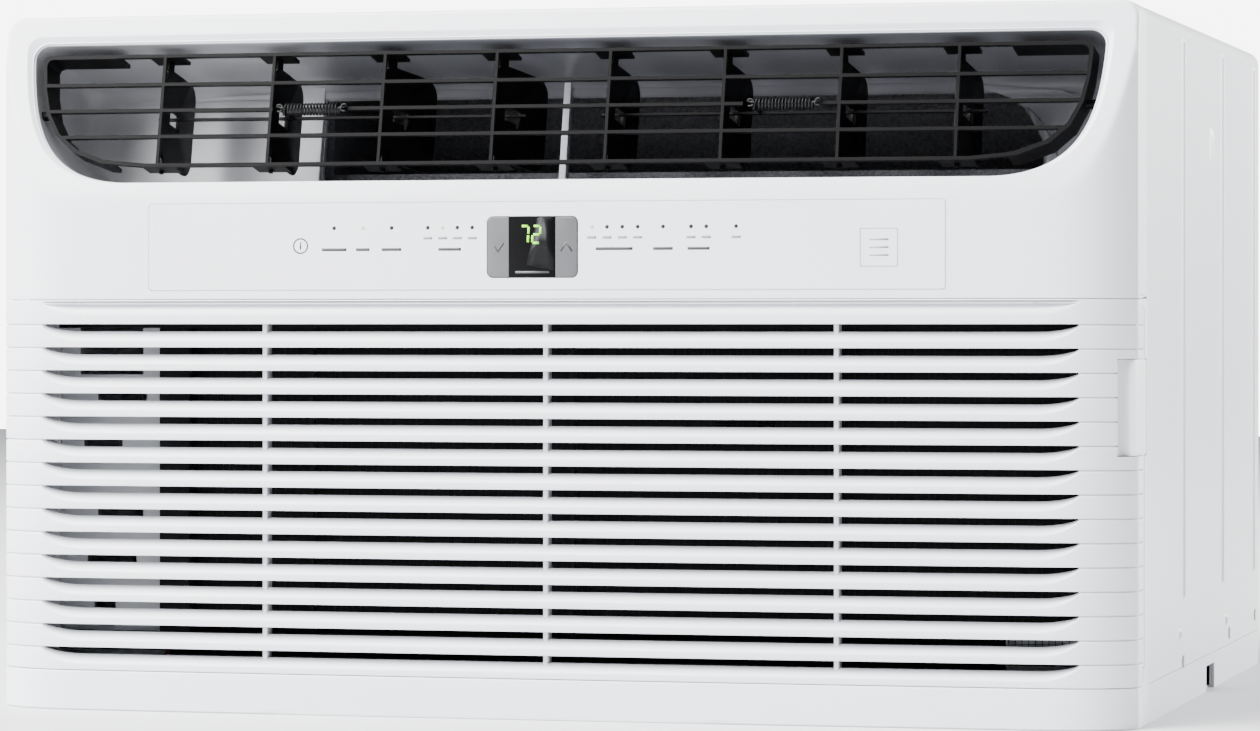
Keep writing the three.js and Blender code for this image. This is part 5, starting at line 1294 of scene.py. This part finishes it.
class AC_OT_filter(bpy.types.Operator):
    """Builds the filter: its frame, its woven net and the scooped grip in the panel's side"""

    bl_idname = "room_ac.filter"
    bl_label = "Air filter"

    def execute(self, context):
        left, right = filter_low.x, HALF - 3.4 * MM
        front = WRAP_END + 0.5 * MM
        back = front + 3.4 * MM
        low, high, rim = filter_low.z, filter_high.z, 10 * MM
        pale = [slab((left, front, low), (left + rim, back, high))]
        # the rims and bars that lie behind the slots are near-black: painted shade; only the end and the edge
        # keep a pale finish
        dark = [slab((left + rim, front, high - rim), (right, back, high)),
                slab((left + rim, front, low), (right, back, low + rim)),
                slab((right - rim, front, low + rim), (right, back, high - rim))]
        dark.append(slab((guide_high.x, front, low + rim), (guide_high.x + 17 * MM, back, high - rim)))
        bay = (right - left - 2 * rim) / 4
        for k in (1, 2, 3):
            x = left + rim + k * bay
            dark.append(slab((x - 1.2 * MM, front, low + rim), (x + 1.2 * MM, back, high - rim)))
        dress(mesh_object("filter_end", pale), looks["pale_duct"], "filter")
        edge = [slab((right - 1 * MM, front, low), (HALF - 0.4 * MM, back, high), 0.3 * MM)]
        dress(mesh_object("filter_edge", edge), looks["white"], "filter")
        dress(mesh_object("filter_frame", dark), looks["net"], "filter", ["air_filter"])
        strands = []
        across = np.linspace(guide_high.x, net_high.x, 150)
        upward = np.linspace(net_low.z, net_high.z, 52)
        thin, y = 0.14 * MM, (net_low.y + net_high.y) / 2
        corners = np.array([[-1, -1], [1, -1], [1, 1], [-1, 1]]) * thin
        for x in across:
            ends = np.array([[[x + a, y + b, z] for a, b in corners] for z in (net_low.z, net_high.z)])
            strands.append(patch(ends, wrap_columns=True, capped=True))
        for z in upward:
            ends = np.array([[[x, y + b + 2.2 * thin, z + a] for a,
                              b in corners] for x in (guide_high.x, net_high.x)])
            strands.append(patch(ends, wrap_columns=True, capped=True))
        dress(mesh_object("filter_net", strands, smooth=False), looks["net"], "filter",
              ["filter_mesh"])
        grip_low, grip_high, _ = grip_span()
        outer = HALF - 0.25 * MM
        path = plan_path(context.scene.ac_panel, WRAP_END)
        path = path[len(path) // 2:]
        share = np.linspace(0, 1, 16)
        x = HALF - 9.5 * MM + 7.2 * MM * share
        scoop = np.stack([x, np.interp(x, *path.T) + 0.35 * MM + 4.5 * MM * np.sin(math.pi * share ** 0.6)],
                         -1)
        ridge = np.array([[HALF - 1.5 * MM, np.interp(HALF - 1.5 * MM, *path.T) - 0.2 * MM],
                          [outer, WRAP_END]])
        plan = np.vstack([scoop, ridge, [[outer, WRAP_END + 11.3 * MM],
                                         [HALF - 8.8 * MM, WRAP_END + 11.3 * MM]]])
        rings = []
        for z, inset in ((grip_low + 0.3 * MM, 0.9), (grip_low + 0.9 * MM, 0.25), (grip_low + 1.8 * MM, 0.0),
                         (grip_high - 1.8 * MM, 0.0), (grip_high - 0.9 * MM,
                                                       0.25), (grip_high - 0.3 * MM, 0.9)):
            ring = plan + (plan.mean(0) - plan) * inset * 0.09
            rings.append(np.insert(ring, 2, z, axis=1))
        grip = mesh_object("filter_grip", [patch(np.stack(rings), wrap_columns=True, capped=True)])
        soften(grip, 40)
        dress(grip, looks["white"], "filter")
        plate = [slab((HALF - 72 * MM, WRAP_END + 8 * MM, GRILLE_FOOT + 3 * MM),
                      (HALF - 23 * MM, WRAP_END + 9.5 * MM, GRILLE_FOOT + 24 * MM))]
        dress(mesh_object("guide_foot", plate), looks["pale_duct"], "root")
        return {"FINISHED"}


class AC_OT_front_panel(bpy.types.Operator):
    """Builds the moulded front panel: leaning bezel, rolled corners, control band and lower bar"""

    bl_idname = "room_ac.front_panel"
    bl_label = "Front panel"

    def execute(self, context):
        panel, grille = context.scene.ac_panel, context.scene.ac_grille
        rest = mesh_object("front_panel_lower", [lower_bar(panel)]
                           + side_strips(panel, grille.corner, grip_span()))
        thicken(rest, panel.wall)
        soften(rest, 40)
        dress(rest, looks["white"], "root")
        made = mesh_object("front_panel_skin", [upper_panel(panel)])
        thicken(made, panel.wall)
        soften(made, 40)
        dress(made, looks["white"], "root", ["front_panel"])
        return {"FINISHED"}


class AC_OT_intake_grille(bpy.types.Operator):
    """Builds the slatted intake grille and the ribs behind its slats"""

    bl_idname = "room_ac.intake_grille"
    bl_label = "Intake grille"

    def execute(self, context):
        panel, grille = context.scene.ac_panel, context.scene.ac_grille
        made = mesh_object("intake_grille_face", [grille_slats(panel, grille)])
        thicken(made, 1.5 * MM)
        soften(made, 40)
        dress(made, looks["white"], "root", ["intake_grille"])
        ribs = []
        for step in (-1, 0, 1):
            x = step * grille.rib_step
            y = upright(panel, np.array([x]))[0]
            ribs.append(slab((x - 1.2 * MM, y + 5 * MM, GRILLE_FOOT + 4 * MM),
                             (x + 1.2 * MM, y + 13 * MM, GRILLE_TOP - 4 * MM)))
        dress(mesh_object("intake_grille_ribs", ribs), looks["white"], "root")
        return {"FINISHED"}


class AC_OT_carry_over(bpy.types.Operator):
    """Gives every CAD node that stays visible its own procedural material"""

    bl_idname = "room_ac.carry_over"
    bl_label = "CAD nodes"

    def execute(self, context):
        by_look = {
            "white": ("air_filter", "control_overlay"),
            "duct": ("outlet_duct", "control_box", "air_guide"),
            "black": ("louver_frame", "tie_bar_left", "tie_bar_right", "blower_wheel", "condenser_fan",
                      "fan_shroud",
                      "thermistor", *vane_names),
            "window": ("display_window",),
            "key": ("key_down", "key_up"),
            "steel": ("base_pan", "cabinet_wrap", "rear_grille"),
            "zinc": ("bulkhead", "motor_shaft", "fan_motor", "motor_bracket"),
            "fins": ("condenser_fins", "run_capacitor"),
            "dark_fins": ("evaporator_fins",),
            "copper": ("evaporator_bends_left", "evaporator_bends_right", "condenser_bends", "suction_line",
                       "discharge_line", "filter_drier", "capillary_tube"),
            "paint": ("compressor", "accumulator"),
            "foam": ("blower_scroll",),
            "white_foam": ("drain_pan",),
            "rubber": ("cord_gland", "compressor_grommet_1", "compressor_grommet_2", "compressor_grommet_3"),
            "board": ("control_board",),
            "wire": ("spring_left", "spring_right"),
            "net": ("filter_mesh",),
            "bright": tuple(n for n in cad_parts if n.startswith("screw_")),
        }
        for look, names in by_look.items():
            for name in names:
                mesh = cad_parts[name].data
                mesh.materials.clear()
                mesh.materials.append(looks[look])
        dressed = {n for names in by_look.values() for n in names} | {"front_panel", "intake_grille"}
        missing = set(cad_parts) - dressed
        if missing:
            raise RuntimeError("no finish for " + ", ".join(sorted(missing)))
        return {"FINISHED"}


class AC_OT_stage(bpy.types.Operator):
    """Sets the pale floor, the soft lights and the camera"""

    bl_idname = "room_ac.stage"
    bl_label = "Stage"

    def execute(self, context):
        stage, scene = context.scene.ac_stage, context.scene
        reach = 6.0
        corners = np.array([[[-reach, -reach, 0], [reach, -reach, 0]],
                            [[-reach, reach, 0], [reach, reach, 0]]], float)
        floor = mesh_object("studio_floor", [patch(corners, toward=(0, 0, 1))])
        floor.data.materials.append(moulded("pale_studio_floor", scene.ac_finish.floor, roughness=0.6,
                                            bump=0.0))
        world = bpy.data.worlds.new("studio")
        world.use_nodes = True
        sky = world.node_tree.nodes["Background"]
        sky.inputs["Color"].default_value = (1, 1, 1, 1)
        seen_by = add(world.node_tree, "ShaderNodeLightPath")
        level = add(world.node_tree, "ShaderNodeMix", {2: stage.world, 3: stage.backdrop},
                    {0: seen_by.outputs["Is Camera Ray"]})
        world.node_tree.links.new(level.outputs[0], sky.inputs["Strength"])
        scene.world = world
        target = Vector((0.0, FRONT, TOP / 2))
        for name, where, size, power in (
            ("key_light", (-2.4, -2.0, 3.2), 4.5, stage.key),
            ("side_light", (2.4, 2.5, 1.3), 2.0, stage.fill),
        ):
            lamp = bpy.data.lights.new(name, "AREA")
            lamp.size = size
            lamp.energy = power
            made = bpy.data.objects.new(name, lamp)
            scene.collection.objects.link(made)
            made.location = where
            made.rotation_euler = (target - Vector(where)).to_track_quat("-Z", "Y").to_euler()
        camera = bpy.data.cameras.new("camera")
        camera.lens = stage.focal
        camera.sensor_width = 36.0
        camera.shift_y = stage.rise
        camera.clip_end = 50.0
        seen = bpy.data.objects.new("camera", camera)
        seen.location = stage.place
        seen.rotation_euler = (math.pi / 2, 0, stage.yaw)
        scene.collection.objects.link(seen)
        scene.camera = seen
        return {"FINISHED"}


class AC_OT_finishes(bpy.types.Operator):
    """Makes every finish of the object"""

    bl_idname = "room_ac.finishes"
    bl_label = "Finishes"

    def execute(self, context):
        make_looks(context.scene.ac_finish)
        return {"FINISHED"}


OPERATORS = (
    AC_OT_finishes,
    AC_OT_carry_over,
    AC_OT_front_panel,
    AC_OT_intake_grille,
    AC_OT_controls,
    AC_OT_filter,
    AC_OT_duct,
    AC_OT_louver,
    AC_OT_cabinet,
    AC_OT_stage,
)


class AC_PT_panel(bpy.types.Panel):
    """Lists the steps that build the object's looks"""

    bl_idname = "AC_PT_panel"
    bl_label = "Room AC"
    bl_space_type = "VIEW_3D"
    bl_region_type = "UI"
    bl_category = "Room AC"

    def draw(self, context):
        for operator in OPERATORS:
            self.layout.operator(operator.bl_idname)
        for name, group in SETTING_GROUPS.items():
            box = self.layout.box()
            box.label(text=group.__name__)
            for key in group.__annotations__:
                box.prop(getattr(context.scene, name), key)


def register():
    for group in SETTING_GROUPS.values():
        bpy.utils.register_class(group)
    for name, group in SETTING_GROUPS.items():
        setattr(bpy.types.Scene, name, bpy.props.PointerProperty(type=group))
    for operator in OPERATORS:
        bpy.utils.register_class(operator)
    bpy.utils.register_class(AC_PT_panel)


def unregister():
    bpy.utils.unregister_class(AC_PT_panel)
    for operator in reversed(OPERATORS):
        bpy.utils.unregister_class(operator)
    for name, group in SETTING_GROUPS.items():
        delattr(bpy.types.Scene, name)
        bpy.utils.unregister_class(group)


def main():
    register()
    for operator in OPERATORS:
        getattr(bpy.ops.room_ac, operator.bl_idname.split(".")[1])()


if __name__ == "__main__":
    main()
